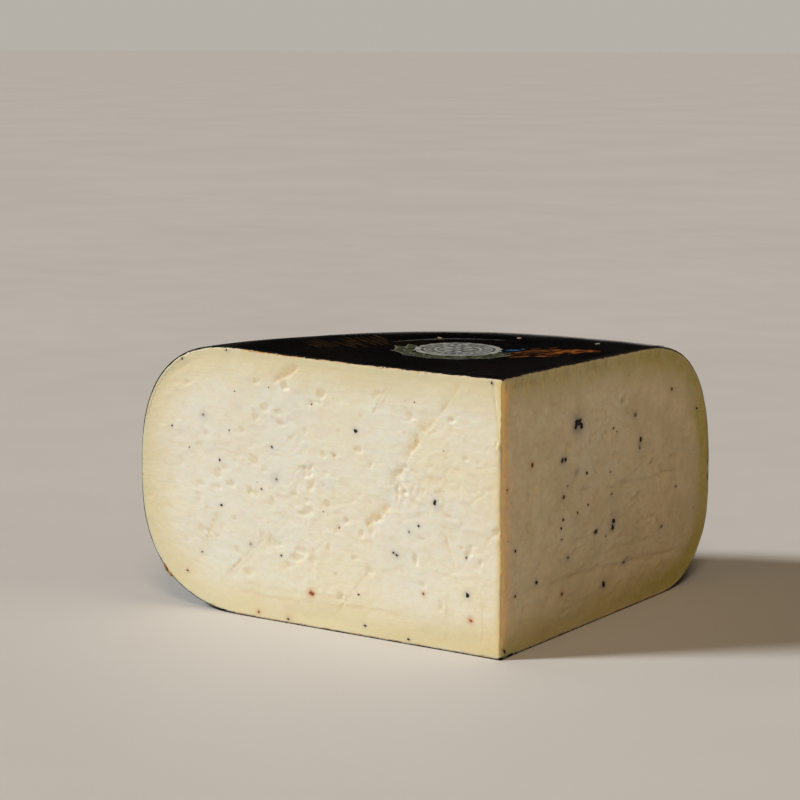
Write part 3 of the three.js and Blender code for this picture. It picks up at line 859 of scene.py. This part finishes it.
def leaf_parts():
    """Slim overlapping leaves that lie round the rosette's near side, each with a pale rim, and a painted
    highlight along the glossy crescent's near edge.
    """
    green, rims_and_glint = [], []
    for k in range(13):
        angle = 168 + 13.5 * k
        reach = LEAF_ARC + (1.6 if k % 2 else -1.6)
        start, end = around(ROSETTE, reach - 0.6, angle), around(ROSETTE, reach + 1.2, angle + 30)
        rims_and_glint.append(blade(start, end, 4.8, 2.6, INK + 0.01 * (k % 3), skew=0.42))
        green.append(blade(start, end, 3.5, 2.6, INK + 0.015 + 0.01 * (k % 3), skew=0.42))
    # A thin pale line along the near edge of the glossy varnish crescent: a painted highlight.
    rims_and_glint.append(blade((86, 52), (50, 84), 0.8, -6, INK, count=30))
    return green, rims_and_glint


STROKES = 90


def stroke_parts():
    """A drift of brushed orange strokes, close together in the middle, with a few blue beads at its root."""
    rng = np.random.default_rng(8)
    bright, dark = [], []
    root, tip = np.array([27.0, 54.0]), np.array([11.0, 84.0])
    for _ in range(STROKES):
        t = rng.uniform() ** 0.8
        spread = 3.0 + 9.0 * math.sin(math.pi * min(1.0, t + 0.12))
        middle = root + t * (tip - root) + rng.normal(0, 0.42, 2) * spread
        lean = math.atan2(*(tip - root)[::-1]) + rng.normal(0, 0.22)
        half = rng.uniform(1.6, 5.2)
        run = half * np.array([math.cos(lean), math.sin(lean)])
        heap = bright if rng.uniform() < 0.45 else dark
        lift = INK + 0.02 * rng.uniform()
        width, bend = rng.uniform(0.6, 1.7), rng.uniform(-0.8, 0.8)
        heap.append(blade(middle - run, middle + run, width, bend, lift, skew=0.4))
    beads = [ring((a, b), 0.01, size, INK, count=20) for a, b, size in BLUE_BEADS]
    beads.append(blade((36.4, 60.4), (31.4, 64.6), 3.4, 0, INK, skew=0.5))
    return bright, dark, beads


BLUE_BEADS = [(32.4, 68, 0.9), (35.4, 56.6, 0.8)]


def dash_parts():
    """Small pale dashes on a circle, and faint brown strokes."""
    pale, brown = [], []
    for angle in (44, 62, 80):
        pale.append(blade(around((0, 0), 103.0, angle), around((0, 0), 107.5, angle), 1.9, 0, INK + 0.02))
    rng = np.random.default_rng(9)
    for k in range(12):
        angle = 12 + 1.7 * k
        low, high = rng.uniform(90, 101), rng.uniform(108, 122)
        brown.append(blade(around((0, 0), low, angle), around((0, 0), high, angle + 1), 1.9, 0.5, INK))
    return pale, brown


def varnish_parts():
    """Two glossy black crescents beyond the rosette."""
    return [
        blade((92, 58), (44, 94), 17, -8, INK - 0.01, count=30),
        blade((46, 78), (38, 92), 7, 2, INK - 0.015, count=20),
    ]


# ---- Flecks, crumbs and burrs ----


def icosphere(subdivisions):
    ball = bmesh.new()
    bmesh.ops.create_icosphere(ball, subdivisions=subdivisions, radius=1.0)
    verts = np.array([v.co[:] for v in ball.verts])
    faces = [[v.index for v in f.verts] for f in ball.faces]
    ball.free()
    return verts, faces


BALLS = {1: icosphere(1), 2: icosphere(2), 3: icosphere(3)}


def lump(rng, subdivisions, craggy):
    """A ball of radius 1 with a seeded uneven surface."""
    verts, faces = BALLS[subdivisions]
    offset = rng.uniform(0, 50, 3)
    a = noise2(verts[:, 0] * 1.3 + offset[0], verts[:, 1] * 1.3 + verts[:, 2] * 0.9 + offset[1], 88)
    b = noise2(verts[:, 2] * 2.7 + offset[2], verts[:, 0] * 2.1 - verts[:, 1] * 2.3 + offset[0], 89)
    return verts * (1 + craggy * (a + 0.5 * b))[:, None], faces


CUTS = {
    "front": (0.0, np.array([-1.0, 0, 0]), np.array([0, 1.0, 0]), front_relief),
    "side": (1.0, np.array([0, 1.0, 0]), np.array([-1.0, 0, 0]), side_relief),
}


def place_on_cut(name, verts, along, up, width, thick, height, turn, depth):
    """Stands a lump on a cut, flattened to its plane."""
    share, run, into, _ = CUTS[name]
    c, s = math.cos(turn), math.sin(turn)
    x, z = verts[:, 0] * width / 2, verts[:, 2] * height / 2
    x, z = x * c - z * s, x * s + z * c
    y = verts[:, 1] * thick / 2
    origin = in_frame(along, share, up) + depth * into
    return origin + x[:, None] * run + y[:, None] * into + z[:, None] * np.array([0, 0, 1.0])


def surface_depths(name, flecks):
    """How deep the finished cut lies at each fleck."""
    share, _, _, relief = CUTS[name]
    along = np.array([fleck[0] for fleck in flecks], float)
    up = np.array([fleck[1] for fleck in flecks], float)
    return calmed(relief(along, up)[0], rind_distance(along, up, section_at(share), COAT))


def stray_flecks(name, count, seed):
    rng = np.random.default_rng(seed)
    reach = 160
    flecks = []
    while len(flecks) < count:
        along, up = rng.uniform(5, reach), rng.uniform(5, 100)
        section = section_at(CUTS[name][0])
        if base_height(section, along, 4) < up < top_height(section, along, 4):
            size = 0.32 + 0.36 * rng.uniform() ** 2
            kind = ("grey", "brown", "grey", "black", "red")[rng.integers(5)]
            flecks.append((along, up, size * rng.uniform(0.8, 1.5), size, kind))
    return flecks


FLECK_SPREAD = 1.04
FLECK_SINK = {"front": 0.05, "side": -0.2}  # how far a grain's middle is under the cut, in its thicknesses
GRAIN_THICKNESS = 0.7  # at most
LONE_GRAIN = 1.0  # a fleck smaller than this is one grain


def build_flecks(materials):
    heaps = {kind: [] for kind in materials}
    rng = np.random.default_rng(31)
    for name, flecks in (
        ("front", FRONT_FLECKS + stray_flecks("front", STRAY_FLECKS["front"], 12)),
        ("side", SIDE_FLECKS + stray_flecks("side", STRAY_FLECKS["side"], 13)),
    ):
        depths = surface_depths(name, flecks)
        for (along, up, width, height, kind), depth in zip(flecks, depths):
            size = max(width, height)
            grains = [(0.0, 0.0, 1.0 if size < LONE_GRAIN else 0.8)]
            for _ in range(0 if size < LONE_GRAIN else 3):
                way, reach = rng.uniform(0, 2 * math.pi), rng.uniform(0.22, 0.38)
                off_a, off_b = reach * width * math.cos(way), reach * height * math.sin(way)
                grains.append((off_a, off_b, rng.uniform(0.3, 0.5)))
            for off_a, off_b, scale in grains:
                verts, faces = lump(rng, 2, 0.5)
                thick = min(GRAIN_THICKNESS, 0.5 * size * scale)
                sunk = depth + FLECK_SINK[name] * thick
                wide, high = FLECK_SPREAD * width * scale, FLECK_SPREAD * height * scale
                turn = rng.uniform(-0.6, 0.6)
                place = place_on_cut(name, verts, along + off_a, up + off_b, wide, thick, high, turn, sunk)
                heaps[kind].append((place, faces))
    return [join_plates("truffle_" + kind, heap, materials[kind]) for kind, heap in heaps.items()]


CRUMBS, BURRS = 34, 54  # on each cut


def build_crumbs(material, coat_material):
    """Crumbs of paste along the cut edges, and burrs of coat along the base."""
    rng = np.random.default_rng(44)
    crumbs, burrs = [], []
    for name, reach in (("front", 150), ("side", 140)):
        section = section_at(CUTS[name][0])
        for k in range(CRUMBS):
            along, size = rng.uniform(3, reach), rng.uniform(0.3, 0.8)
            up = top_height(section, along, COAT) - 0.05 if k % 2 else base_height(section, along, COAT) + 0.1
            verts, faces = lump(rng, 1, 0.35)
            width, turn = size * rng.uniform(1, 2.2), rng.uniform(-0.4, 0.4)
            place = place_on_cut(name, verts, along, up, width, size, size * 0.8, turn, 0.15)
            crumbs.append((place, faces))
        for k in range(BURRS):
            along, size = rng.uniform(2, reach), rng.uniform(0.35, 0.9)
            up = base_height(section, along, 0.0) + 0.35 * size + 0.05
            if k % 2:
                up = top_height(section, along, 0.0) - 0.4 * size - 0.1
            verts, faces = lump(rng, 1, 0.35)
            width = size * rng.uniform(1.2, 3.0)
            place = place_on_cut(name, verts, along, up, width, 0.5, size * 0.7, 0.0, 0.18)
            burrs.append((place, faces))
    return [join_plates("crumbs", crumbs, material), join_plates("coat_burrs", burrs, coat_material)]


def build_drop(material):
    """The drop of hardened coating on the rim of the front cut."""
    rng = np.random.default_rng(4)
    parts = []
    for along, up, width, height, turn in ((163.3, 14.6, 5.6, 1.9, 0.95), (161.0, 12.2, 2.8, 1.7, 0.75)):
        verts, faces = lump(rng, 3, 0.2)
        parts.append((place_on_cut("front", verts, along, up, width, 1.8, height, turn, 0.55), faces))
    return join_plates("coat_drop", parts, material)


# ---- Materials ----


class Shader:
    """A material under way: its nodes, and the colour and the bumps laid so far."""

    def __init__(self, name):
        self.material = bpy.data.materials.new(name)
        self.material.use_nodes = True
        self.tree = self.material.node_tree
        self.bsdf = self.tree.nodes["Principled BSDF"]
        self.place = self.add("ShaderNodeTexCoord").outputs["Object"]
        self.colour = self.normal = None

    def feed(self, socket, value):
        """Gives a socket a number, a vector, a colour or another node's output."""
        if isinstance(value, bpy.types.NodeSocket):
            self.tree.links.new(value, socket)
        elif isinstance(value, tuple) and socket.type == "RGBA":
            socket.default_value = (*value, 1.0)
        else:
            socket.default_value = value

    def add(self, kind, inputs=(), **settings):
        """A new node. Its inputs come as pairs of a socket's name or number and what is fed to it."""
        node = self.tree.nodes.new(kind)
        for key, value in settings.items():
            setattr(node, key, value)
        for key, value in inputs:
            self.feed(node.inputs[key], value)
        return node

    def noise(self, scale, detail=4.0, roughness=0.55, stretch=None):
        place = self.place
        if stretch:
            place = self.add("ShaderNodeMapping", (("Vector", place), ("Scale", stretch))).outputs["Vector"]
        inputs = (("Vector", place), ("Scale", scale), ("Detail", detail), ("Roughness", roughness))
        return self.add("ShaderNodeTexNoise", inputs).outputs["Fac"]

    def attribute(self, name):
        return self.add("ShaderNodeAttribute", attribute_name=name).outputs["Fac"]

    def spread(self, value, low, high, to_low=0.0, to_high=1.0, curve="SMOOTHSTEP"):
        keys = ("Value", "From Min", "From Max", "To Min", "To Max")
        inputs = zip(keys, (value, low, high, to_low, to_high))
        return self.add("ShaderNodeMapRange", inputs, interpolation_type=curve).outputs["Result"]

    def math(self, operation, a, b):
        return self.add("ShaderNodeMath", enumerate((a, b)), operation=operation).outputs[0]

    def times(self, a, b):
        return self.math("MULTIPLY", a, b)

    def mix(self, factor, a, b):
        return self.add("ShaderNodeMix", zip((0, 6, 7), (factor, a, b)), data_type="RGBA").outputs[2]

    def tint(self, factor, colour):
        """Lays a colour over those so far."""
        self.colour = self.mix(factor, self.colour, colour)

    def bump(self, height, distance, strength):
        """Lays a bump over those so far."""
        inputs = [("Height", height), ("Distance", distance), ("Strength", strength)]
        if self.normal is not None:
            inputs.append(("Normal", self.normal))
        self.normal = self.add("ShaderNodeBump", inputs).outputs["Normal"]

    def finish(self, roughness, **constants):
        """Links colour, roughness and bumps, and sets what is the same all over on the shader itself."""
        for key, value in (("Base Color", self.colour), ("Roughness", roughness), ("Normal", self.normal)):
            self.feed(self.bsdf.inputs[key], value)
        for key, value in constants.items():
            self.bsdf.inputs[key.replace("_", " ")].default_value = value
        return self.material


def paste_material():
    s = Shader("cheese_paste")
    rind, edge, painted_shade, painted_glow = (s.attribute(name) for name in ("rind", "edge", "painted_shade", "painted_glow"))
    cloud = s.noise(34, 4)
    s.colour = s.mix(s.spread(cloud, 0.35, 0.65), (0.803, 0.797, 0.70), (0.813, 0.772, 0.605))
    mottle = s.noise(330, 5, 0.62)
    s.tint(s.spread(mottle, 0.47, 0.72, 0.0, 0.42), (0.775, 0.70, 0.485))
    s.tint(s.spread(mottle, 0.53, 0.28, 0.0, 0.42), (0.845, 0.834, 0.75))
    s.tint(s.times(s.attribute("pale"), 0.6), (0.83, 0.832, 0.775))
    # Yellower towards the rind.
    wander = s.math("ADD", rind, s.spread(s.noise(60, 2), 0, 1, -4, 4))
    s.tint(s.spread(wander, 1.0, 19.0, 0.85, 0.0), (0.735, 0.66, 0.42))
    # Painted shade over the whole side cut, growing outwards, and over the front near its base.
    s.tint(s.times(painted_shade, 0.72), (0.78, 0.635, 0.39))
    # Darker and olive near the rind: partly the paste's age, partly painted shade, far more on the side cut,
    # and less where the glow is painted.
    near_rind = s.times(s.spread(wander, 0.0, 17.0, 0.68, 0.0), s.spread(painted_glow, 0.0, 1.0, 1.0, 0.2))
    s.tint(s.times(s.attribute("age_and_shade"), near_rind), (0.485, 0.388, 0.06))
    # A painted glow by the sharp edge, where light comes through the paste.
    s.tint(s.times(painted_glow, 0.85), (0.82, 0.595, 0.225))
    # A thin pale lip right under the coat, and an amber line that comes and goes.
    fine = s.math("ADD", rind, s.spread(s.noise(500, 2), 0, 1, -0.35, 0.35))
    s.tint(s.spread(fine, 0.5, 1.2, 0.35, 0.0), (0.88, 0.72, 0.52))
    seam = s.times(s.spread(fine, 0.9, 1.3), s.spread(fine, 1.3, 1.75, 1.0, 0.0))
    s.tint(s.times(seam, s.times(s.attribute("seam"), 0.5)), (0.42, 0.25, 0.12))
    # Fine and broad darker patches that mottle the painted shade.
    s.tint(s.times(painted_shade, s.spread(s.noise(520, 4, 0.7), 0.46, 0.7, 0.0, 0.4)), (0.60, 0.47, 0.26))
    s.tint(s.times(painted_shade, s.spread(s.noise(75, 4, 0.6), 0.4, 0.66, 0.0, 0.34)), (0.56, 0.45, 0.24))
    reach = s.math("MAXIMUM", s.spread(s.noise(95, 3), 0.5, 0.66, 0.1, 0.7), s.attribute("amber"))
    s.tint(s.times(s.spread(fine, 0.1, 0.75, 1.0, 0.0), reach), (0.62, 0.27, 0.06))
    # Painted shade on the slopes of pits, grooves and flakes that face away from the light, and what the
    # truffle does to the paste round it.
    s.tint(s.times(s.attribute("pit"), s.spread(s.noise(620, 3), 0.35, 0.62, 0.2, 0.5)), (0.71, 0.55, 0.29))
    s.tint(s.times(s.attribute("stain"), 0.8), (0.66, 0.33, 0.14))
    s.tint(s.times(s.attribute("shadow"), 0.6), (0.24, 0.18, 0.21))
    # Short upright marks below the side cut's top edge.
    comb = s.times(s.noise(1.0, 2, 0.5, stretch=(40, 900, 110)), s.attribute("combed"))
    s.tint(s.spread(comb, 0.46, 0.64, 0.0, 0.5), (0.38, 0.28, 0.11))
    drag = s.noise(1.0, 5, 0.6, stretch=(85, 85, 1150))
    s.bump(s.times(drag, s.spread(s.noise(28, 2), 0.4, 0.65, 0.3, 1.0)), 0.00014, 0.8)
    s.bump(comb, 0.0009, 1.0)
    s.bump(s.noise(420, 3), 0.0002, 0.8)
    s.bump(s.noise(1500, 3, 0.6), 0.00004, 0.7)
    for key, low, high in (("Subsurface Weight", 0.5, 1.0), ("Subsurface Scale", 0.004, 0.015)):
        s.feed(s.bsdf.inputs[key], s.spread(edge, 0.0, 1.0, low, high, "LINEAR"))
    roughness = s.spread(cloud, 0.3, 0.7, 0.44, 0.58)
    return s.finish(roughness, Subsurface_Radius=(1.0, 0.5, 0.22), Specular_IOR_Level=0.32, IOR=1.45)


def coat_material():
    s = Shader("black_coat")
    s.colour = s.mix(s.spread(s.noise(24, 4), 0.35, 0.7), (0.0055, 0.005, 0.0052), (0.011, 0.0085, 0.0072))
    scuffs = s.noise(1.0, 4, 0.65, stretch=(120, 340, 60))
    s.tint(s.spread(scuffs, 0.60, 0.74, 0.0, 0.55), (0.034, 0.029, 0.025))
    s.tint(s.spread(s.noise(420, 3), 0.66, 0.74, 0.0, 0.4), (0.05, 0.042, 0.034))
    s.bump(s.noise(150, 4), 0.0004, 0.5)
    s.bump(s.noise(520, 3), 0.00012, 0.6)
    return s.finish(s.spread(s.noise(60, 3), 0.3, 0.7, 0.42, 0.6), Specular_IOR_Level=0.12)


def plain_material(name, dark, light, tones, finish, bump, **constants):
    """A material of two tones that a noise mixes, with an uneven roughness and a bump.

    tones gives the noise's scale, detail and roughness and the values between which the tones change over,
    finish another noise's scale and detail and the least and most roughness, and bump a third noise's scale
    and detail with the bump's distance and strength.
    """
    s = Shader(name)
    s.colour = s.mix(s.spread(s.noise(*tones[:3]), *tones[3:]), dark, light)
    s.bump(s.noise(*bump[:2]), *bump[2:])
    return s.finish(s.spread(s.noise(*finish[:2]), 0.3, 0.7, *finish[2:]), **constants)


def ink_material(name, dark, light, roughness=0.42, reflection=0.08):
    finish = (180, 2, roughness - 0.06, roughness + 0.08)
    tones, bump = (260, 4, 0.7, 0.36, 0.64), (900, 2, 0.00003, 0.4)
    return plain_material("ink_" + name, dark, light, tones, finish, bump, Specular_IOR_Level=reflection)


def fleck_material(kind, dark, light, roughness):
    finish = (2500, 2, roughness - 0.1, roughness + 0.1)
    tones, bump = (1500, 3, 0.55, 0.35, 0.65), (2600, 3, 0.0001, 0.8)
    return plain_material("truffle_" + kind, dark, light, tones, finish, bump, Specular_IOR_Level=0.35)


# Looks: the dark and the light tone, then a fleck's roughness, or an ink's with its reflection.
FLECKS = {
    "black": ((0.006, 0.0045, 0.004), (0.032, 0.021, 0.014), 0.7),
    "brown": ((0.055, 0.026, 0.014), (0.13, 0.065, 0.035), 0.6),
    "red": ((0.24, 0.05, 0.018), (0.42, 0.13, 0.055), 0.55),
    "grey": ((0.12, 0.105, 0.10), (0.28, 0.24, 0.21), 0.65),
}
INKS = {
    "pale": ((0.22, 0.235, 0.225), (0.44, 0.455, 0.43)),
    "grey": ((0.055, 0.065, 0.07), (0.15, 0.17, 0.175)),
    "silver": ((0.10, 0.11, 0.095), (0.26, 0.28, 0.25)),
    "green": ((0.025, 0.03, 0.014), (0.085, 0.095, 0.05)),
    "orange": ((0.14, 0.036, 0.007), (0.42, 0.15, 0.036)),
    "rust": ((0.02, 0.008, 0.003), (0.13, 0.04, 0.01)),
    "blue": ((0.012, 0.05, 0.13), (0.05, 0.16, 0.36)),
    "straw": ((0.24, 0.21, 0.15), (0.42, 0.37, 0.28)),
    "brown": ((0.010, 0.006, 0.003), (0.034, 0.017, 0.006)),
    "varnish": ((0.0006, 0.0006, 0.0008), (0.0012, 0.0012, 0.0014), 0.12, 0.02),
}

# ---- Putting the object together ----

paste_look = paste_material()
coat_look = coat_material()
sheet_look = plain_material(
    "label_sheet",
    (0.0016, 0.0016, 0.0019),
    (0.0046, 0.0032, 0.0023),
    tones=(30, 3, 0.55, 0.35, 0.7),
    finish=(45, 3, 0.10, 0.17),
    bump=(90, 3, 0.0003, 0.25),
    Specular_IOR_Level=0.035,
)
drop_look = plain_material(
    "coat_drop",
    (0.20, 0.075, 0.012),
    (0.46, 0.27, 0.08),
    tones=(420, 3, 0.55, 0.4, 0.62),
    finish=(700, 2, 0.2, 0.38),
    bump=(900, 2, 0.0001, 0.5),
    Subsurface_Weight=0.3,
    Subsurface_Radius=(1.0, 0.4, 0.1),
    Subsurface_Scale=0.001,
)
floor_look = plain_material(
    "floor",
    (0.60, 0.59, 0.575),
    (0.63, 0.62, 0.605),
    tones=(3, 3, 0.55, 0.3, 0.7),
    finish=(20, 2, 0.62, 0.72),
    bump=(300, 3, 0.0002, 0.3),
    Specular_IOR_Level=0.2,
)

paste = build_paste(paste_look)
coat = build_coat(coat_look)
sheet = build_sheet(sheet_look)
flecks = build_flecks({kind: fleck_material(kind, *look) for kind, look in FLECKS.items()})
crumbs, burrs = build_crumbs(paste_look, coat_look)
drop = build_drop(drop_look)

inks = {name: ink_material(name, *look) for name, look in INKS.items()}
rosette_pale, rosette_grey = rosette_parts()
leaf_green, leaf_rims_and_glint = leaf_parts()
stroke_bright, stroke_dark, beads = stroke_parts()
dash_pale, dash_brown = dash_parts()
prints = [
    join_plates("print_" + name, plates, inks[ink])
    for name, plates, ink in (
        ("rosette", rosette_pale, "pale"),
        ("rosette_back", rosette_grey, "grey"),
        ("leaf_rims_and_glint", leaf_rims_and_glint, "silver"),
        ("leaves", leaf_green, "green"),
        ("strokes_bright", stroke_bright, "orange"),
        ("strokes_dark", stroke_dark, "rust"),
        ("beads", beads, "blue"),
        ("dashes", dash_pale, "straw"),
        ("brown_strokes", dash_brown, "brown"),
        ("varnish", varnish_parts(), "varnish"),
    )
]

for piece in (paste, coat, drop, crumbs, burrs, *flecks, sheet, *prints):
    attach(piece, "root")
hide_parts("truffle_gouda")
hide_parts("top_label")

# ---- Stage, light and camera ----

FLOOR_REACH = 40.0  # in metres

floor_mesh = bpy.data.meshes.new("floor")
corners = [(x * FLOOR_REACH, y * FLOOR_REACH, 0.0) for x, y in ((-1, -1), (1, -1), (1, 1), (-1, 1))]
floor_mesh.from_pydata(corners, [], [(0, 1, 2, 3)])
floor = bpy.data.objects.new("floor", floor_mesh)
bpy.context.scene.collection.objects.link(floor)
floor_mesh.materials.append(floor_look)
floor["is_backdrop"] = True

AZIMUTH, PITCH = math.radians(34.27), math.radians(8.88)
FORWARD = Vector((-math.sin(AZIMUTH), math.cos(AZIMUTH), 0))
RIGHT = Vector((math.cos(AZIMUTH), math.sin(AZIMUTH), 0))
UP = Vector((0, 0, 1))
FOOT = Vector((*(CORNER * MM), 0))  # the foot of the wheel's axis
STAND = (-37.8, -840.5, 230.7)  # the camera from there, in millimetres to the right, forward and up
LENS, SENSOR = 103.5, 36.0

camera_data = bpy.data.cameras.new("camera")
camera_data.lens, camera_data.sensor_width = LENS, SENSOR
camera_data.clip_start, camera_data.clip_end = 0.05, 200.0
camera = bpy.data.objects.new("camera", camera_data)
camera.location = FOOT + (STAND[0] * RIGHT + STAND[1] * FORWARD + STAND[2] * UP) * MM
camera.rotation_euler = Euler((math.pi / 2 - PITCH, 0, AZIMUTH))
bpy.context.scene.collection.objects.link(camera)
bpy.context.scene.camera = camera


def sun(name, strength, colour, aim_from, softness):
    """A soft sun that shines from a direction given as (right, towards the camera, up)."""
    data = bpy.data.lights.new(name, "SUN")
    data.energy, data.color, data.angle = strength, colour, math.radians(softness)
    lamp = bpy.data.objects.new(name, data)
    direction = aim_from[0] * RIGHT - aim_from[1] * FORWARD + aim_from[2] * UP
    lamp.rotation_euler = direction.to_track_quat("Z", "Y").to_euler()
    bpy.context.scene.collection.objects.link(lamp)


sun("key", 2.8, (1.0, 1.0, 0.99), (-1.0, 0.12, 0.75), 12)
sun("fill", 0.84, (1.0, 0.78, 0.55), (0.0, 0.85, 0.95), 20)

world = bpy.data.worlds.new("studio")
bpy.context.scene.world = world
world.use_nodes = True
tree = world.node_tree
background = tree.nodes["Background"]
place = tree.nodes.new("ShaderNodeTexCoord")
split = tree.nodes.new("ShaderNodeSeparateXYZ")
ramp = tree.nodes.new("ShaderNodeValToRGB")
tree.links.new(place.outputs["Generated"], split.inputs["Vector"])
tree.links.new(split.outputs["Z"], ramp.inputs["Fac"])
tree.links.new(ramp.outputs["Color"], background.inputs["Color"])
# Pale at the horizon, a dark band over it that the top reflects, and a soft warm glow overhead.
WORLD_BANDS = (
    (0.0, (0.47, 0.44, 0.395)),
    (0.035, (0.47, 0.44, 0.395)),
    (0.07, (0.006, 0.0055, 0.005)),
    (0.5, (0.008, 0.007, 0.0055)),
    (1.0, (0.19, 0.145, 0.09)),
)
stops = ramp.color_ramp.elements
for position, colour in WORLD_BANDS[1:-1]:
    stops.new(position)
for stop, (position, colour) in zip(stops, WORLD_BANDS):
    stop.position = position
    stop.color = (*colour, 1.0)

view = bpy.context.scene.view_settings
view.view_transform = "Standard"
view.look = "None"
view.exposure = 0.0

plain = lambda box: [[float(v) for v in corner] for corner in box]
{"cad": plain(CAD_BOX), "visual": plain(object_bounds())}
